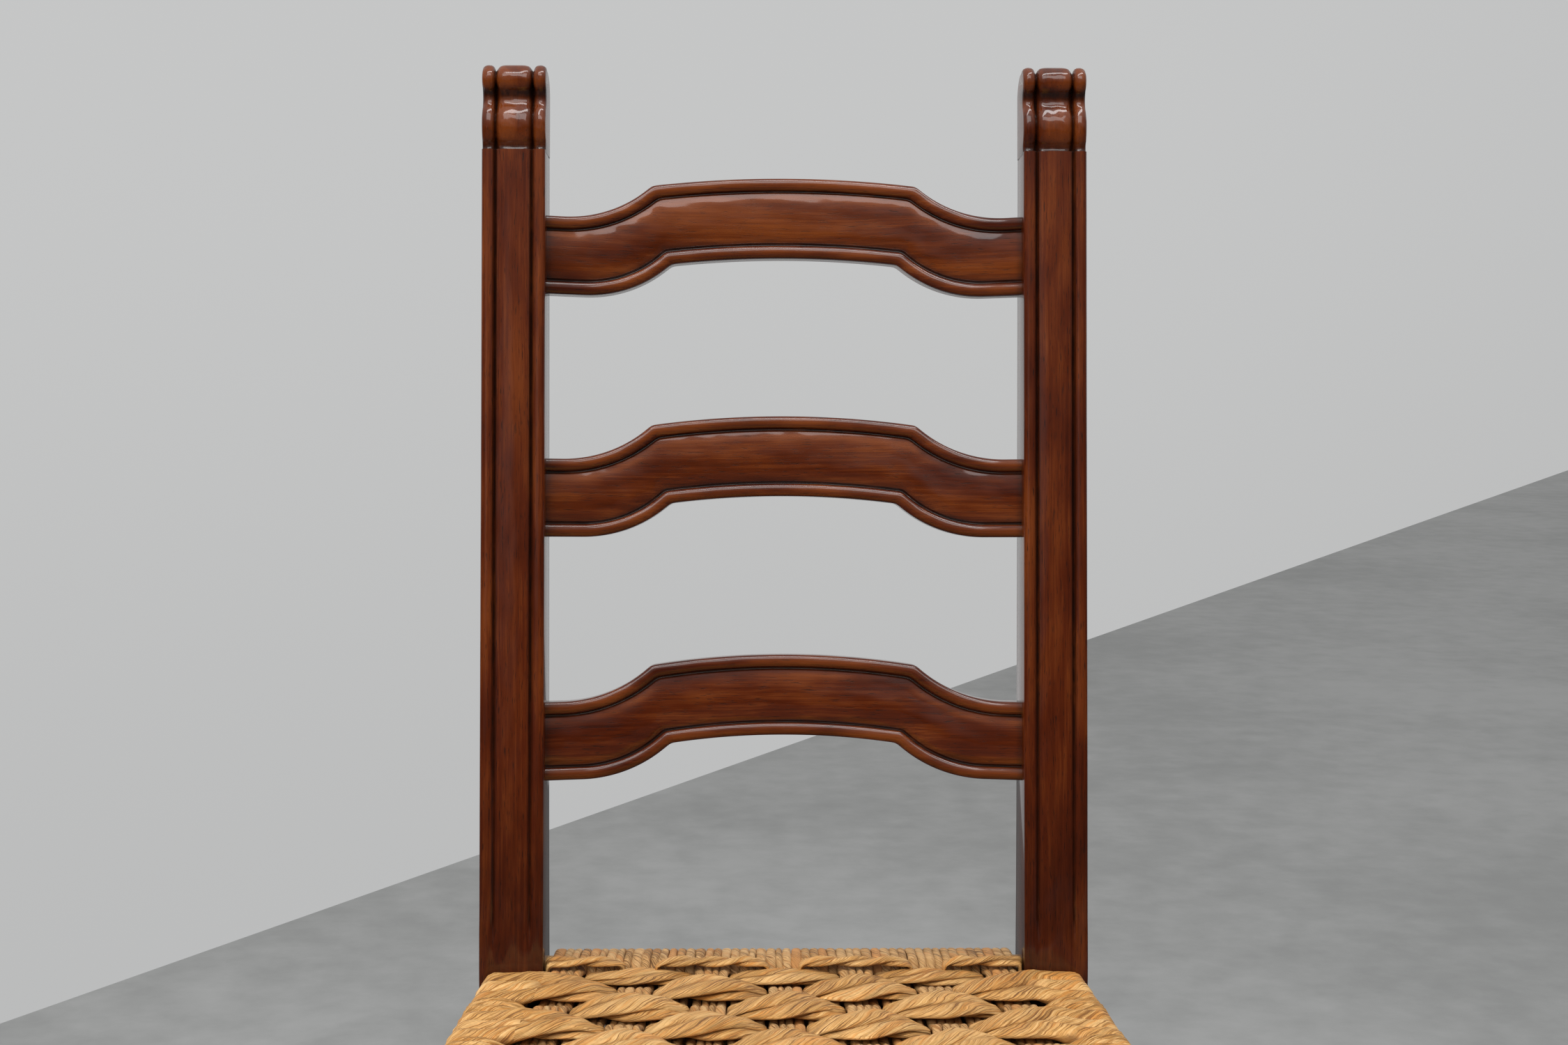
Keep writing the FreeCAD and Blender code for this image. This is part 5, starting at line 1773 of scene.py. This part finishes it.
@dataclass(frozen=True)
class Studio:
    """Camera, lamps, floor and backdrop."""

    eye: tuple = (-27.92, -1488.98, 954.58)
    yaw: float = 1.0275
    pitch: float = 6.6296
    roll: float = 0.1909
    lens: float = 50.0
    sensor: float = 36.0
    wall: float = 0.50
    low_rise: float = 0.065
    right_fall: float = 0.05
    gloss_behind: float = 0.53
    gloss_above: float = 0.64
    gloss_below: float = 0.010
    gloss_window: float = 0.75
    aim: tuple = (0.0, 0.1, 0.8)
    wall_foot: tuple = (-0.977, 1.314, 0.0)
    wall_along: tuple = (0.5365, 0.8439, 0.0)
    wall_away: tuple = (0.8439, -0.5365, 0.0)

    def camera(self) -> None:
        """Put the camera where the photograph's view is."""
        data = bpy.data.cameras.new("camera")
        data.lens = self.lens
        data.sensor_width = self.sensor
        data.clip_start = 0.05
        data.clip_end = 60.0
        camera = linked("camera", data)
        yaw, pitch, roll = (math.radians(v) for v in (self.yaw, self.pitch, self.roll))
        level = math.cos(pitch)
        ahead = Vector((math.sin(yaw) * level, math.cos(yaw) * level, -math.sin(pitch)))
        side = Vector((math.cos(yaw), -math.sin(yaw), 0.0))
        over = side.cross(ahead)
        right = side * math.cos(roll) + over * math.sin(roll)
        up = over * math.cos(roll) - side * math.sin(roll)
        turn = Matrix((right, up, -ahead)).transposed().to_4x4()
        place = Vector(self.eye) * MM + Vector((0.0, SHIFT_Y, 0.0))
        camera.matrix_world = Matrix.Translation(place) @ turn
        bpy.context.scene.camera = camera

    def lamp(self, panel: Panel) -> None:
        """Add a lamp that points at the chair.

        Args:
            panel: What it is like.
        """
        data = bpy.data.lights.new(panel.name, "AREA")
        data.shape = "RECTANGLE"
        data.size, data.size_y = panel.size
        data.energy = panel.watts
        lamp = linked(panel.name, data)
        lamp.location = panel.place
        ray = Vector(self.aim) - Vector(panel.place)
        lamp.rotation_euler = ray.to_track_quat("-Z", "Y").to_euler()
        lamp.visible_glossy = panel.in_gloss

    def world(self) -> None:
        """Pale wall all round, dimmer low down and to the front in the gloss."""
        world = bpy.data.worlds.new("room")
        g = Graph(world)
        x, y, z = g.parts(g.coordinates("Generated"))
        glossy = g.glossy()
        behind = y.rise(-0.15, 0.35)
        above = z.rise(0.02, 0.90) * self.gloss_above + self.gloss_below
        towards_window = (y * -0.961 - x * 0.276).rise(0.950, 0.992)
        window = towards_window * z.rise(-0.02, 0.42) * self.gloss_window
        seen = behind * self.gloss_behind + (1.0 - behind) * (above + window)
        shade = z.rise(-0.35, 0.10) * self.low_rise - x.rise(0.10, 0.60) * self.right_fall
        level = (1.0 - glossy) * (shade + self.wall) + glossy * seen
        tint = g.mix(0.5, (0.985, 1.0, 1.0), (1.0, 1.0, 1.0))
        back = g.node("ShaderNodeBackground", {}, {"Color": tint, "Strength": level})
        g.node("ShaderNodeOutputWorld", {}, {0: Wire(g, back.outputs[0])})
        bpy.context.scene.world = world

    def floor(self) -> None:
        """Concrete floor that ends at the line where the room's slanting wall stands."""
        along, away, start = (Vector(v) for v in (self.wall_along, self.wall_away, self.wall_foot))
        corners = [start - along * 12.0, start - along * 12.0 + away * 14.0,
                   start + along * 14.0 + away * 14.0, start + along * 14.0]
        mesh = bpy.data.meshes.new("floor")
        mesh.from_pydata([tuple(c) for c in corners], [], [(0, 1, 2, 3)])
        g = Graph.material("concrete")
        spot = g.coordinates("Object")
        cloud = g.noise(g.scaled(spot, (0.9, 0.9, 0.9)), 5.0, 0.6)
        speck = g.noise(g.scaled(spot, (14.0, 14.0, 14.0)), 4.0, 0.6)
        mottle = (cloud * 0.7 + speck * 0.3).rise(0.34, 0.66)
        shade = g.mix(mottle, (0.265, 0.268, 0.264), (0.385, 0.387, 0.383))
        # painted reflection: to glossy rays the floor is near black, so the wood's gloss stays dark
        # below the horizon
        shade = g.mix(g.glossy() * 0.8, shade, (0.02, 0.02, 0.02))
        mesh.materials.append(g.finish({"Base Color": shade, "Roughness": cloud * 0.2 + 0.4}))
        surface = linked("floor", mesh)

    def build(self) -> None:
        """Make the whole set."""
        self.camera()
        self.world()
        for panel in PANELS:
            self.lamp(panel)
        self.floor()
        bpy.context.scene.view_settings.view_transform = "Standard"


def dress_nodes() -> None:
    """Give the CAD nodes that stay visible their finish."""
    along_y = StainedWood("stained_side", Grain.ALONG_Y).material()
    along_x = StainedWood("stained_cross", Grain.ALONG_X).material()
    plain_y = PlainWood("rail_side", Grain.ALONG_Y).material()
    plain_x = PlainWood("rail_cross", Grain.ALONG_X).material()
    finishes = {"stretcher_side": along_y, "stretcher_rear": along_x, "seat_rail_side": plain_y,
                "seat_rail_rear": plain_x, "seat_rail_front": plain_x}
    for name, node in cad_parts.items():
        for start, finish in finishes.items():
            if name.startswith(start):
                node.data.materials.clear()
                node.data.materials.append(finish)
                LOG.info("%s: %s", name, finish.name)


def main() -> None:
    """Build the chair's pieces and the set, and report each."""
    logging.basicConfig(level=logging.INFO, format="%(message)s")
    Studio().build()
    carved = StainedWood("stained_post", Grain.OWN).material()
    moulded = StainedWood("stained_slat", Grain.OWN, light=(0.205, 0.0500, 0.0085)).material()
    for side, sign in (("left", -1.0), ("right", 1.0)):
        seed = 1 if sign < 0.0 else 2
        RearPost(f"post_{side}", f"rear_post_{side}", sign * CHAIR.post_x).build(carved, seed)
        FrontLeg(f"leg_{side}", f"front_leg_{side}", sign * CHAIR.leg_x).build(carved, seed + 4)
    # painted sheen: the higher the slat, the more its field is lightened
    for index in range(SLATS):
        Slat(f"back_slat_{index + 1}", f"slat_{index + 1}", SLAT_FIRST + SLAT_PITCH * index,
             CHAIR.post_inner, SLAT_BOW, SLAT_SETBACK, True,
             wear_and_sheen=0.12 + 0.2 * index).build(moulded, Slot.SLAT, 11 + index)
    Slat("front_stretcher", "stretcher_front", STRETCHER_BASE, CHAIR.leg_inner, 0.0,
         CHAIR.leg_front + STRETCHER_SETBACK, False).build(moulded, Slot.STRETCHER, 15)
    dress_nodes()
    cord = Rush("rolled_rush", (0.76, 0.475, 0.215), (0.57, 0.305, 0.108), (0.62, 0.23, 0.045),
                (0.17, 0.075, 0.024), 0.62, 1500.0, odd=0.30).material()
    straw = Rush("twisted_rush", (0.93, 0.565, 0.225), (0.66, 0.33, 0.088), (0.74, 0.275, 0.040),
                 (0.23, 0.095, 0.023), 0.80, 820.0).material()
    for index in range(WEAVE.groups):
        WarpGroup(index).build(cord)
    for index in range(WEAVE.rows + 2):
        WeftRow(index).build(straw)


if __name__ == "__main__":
    main()
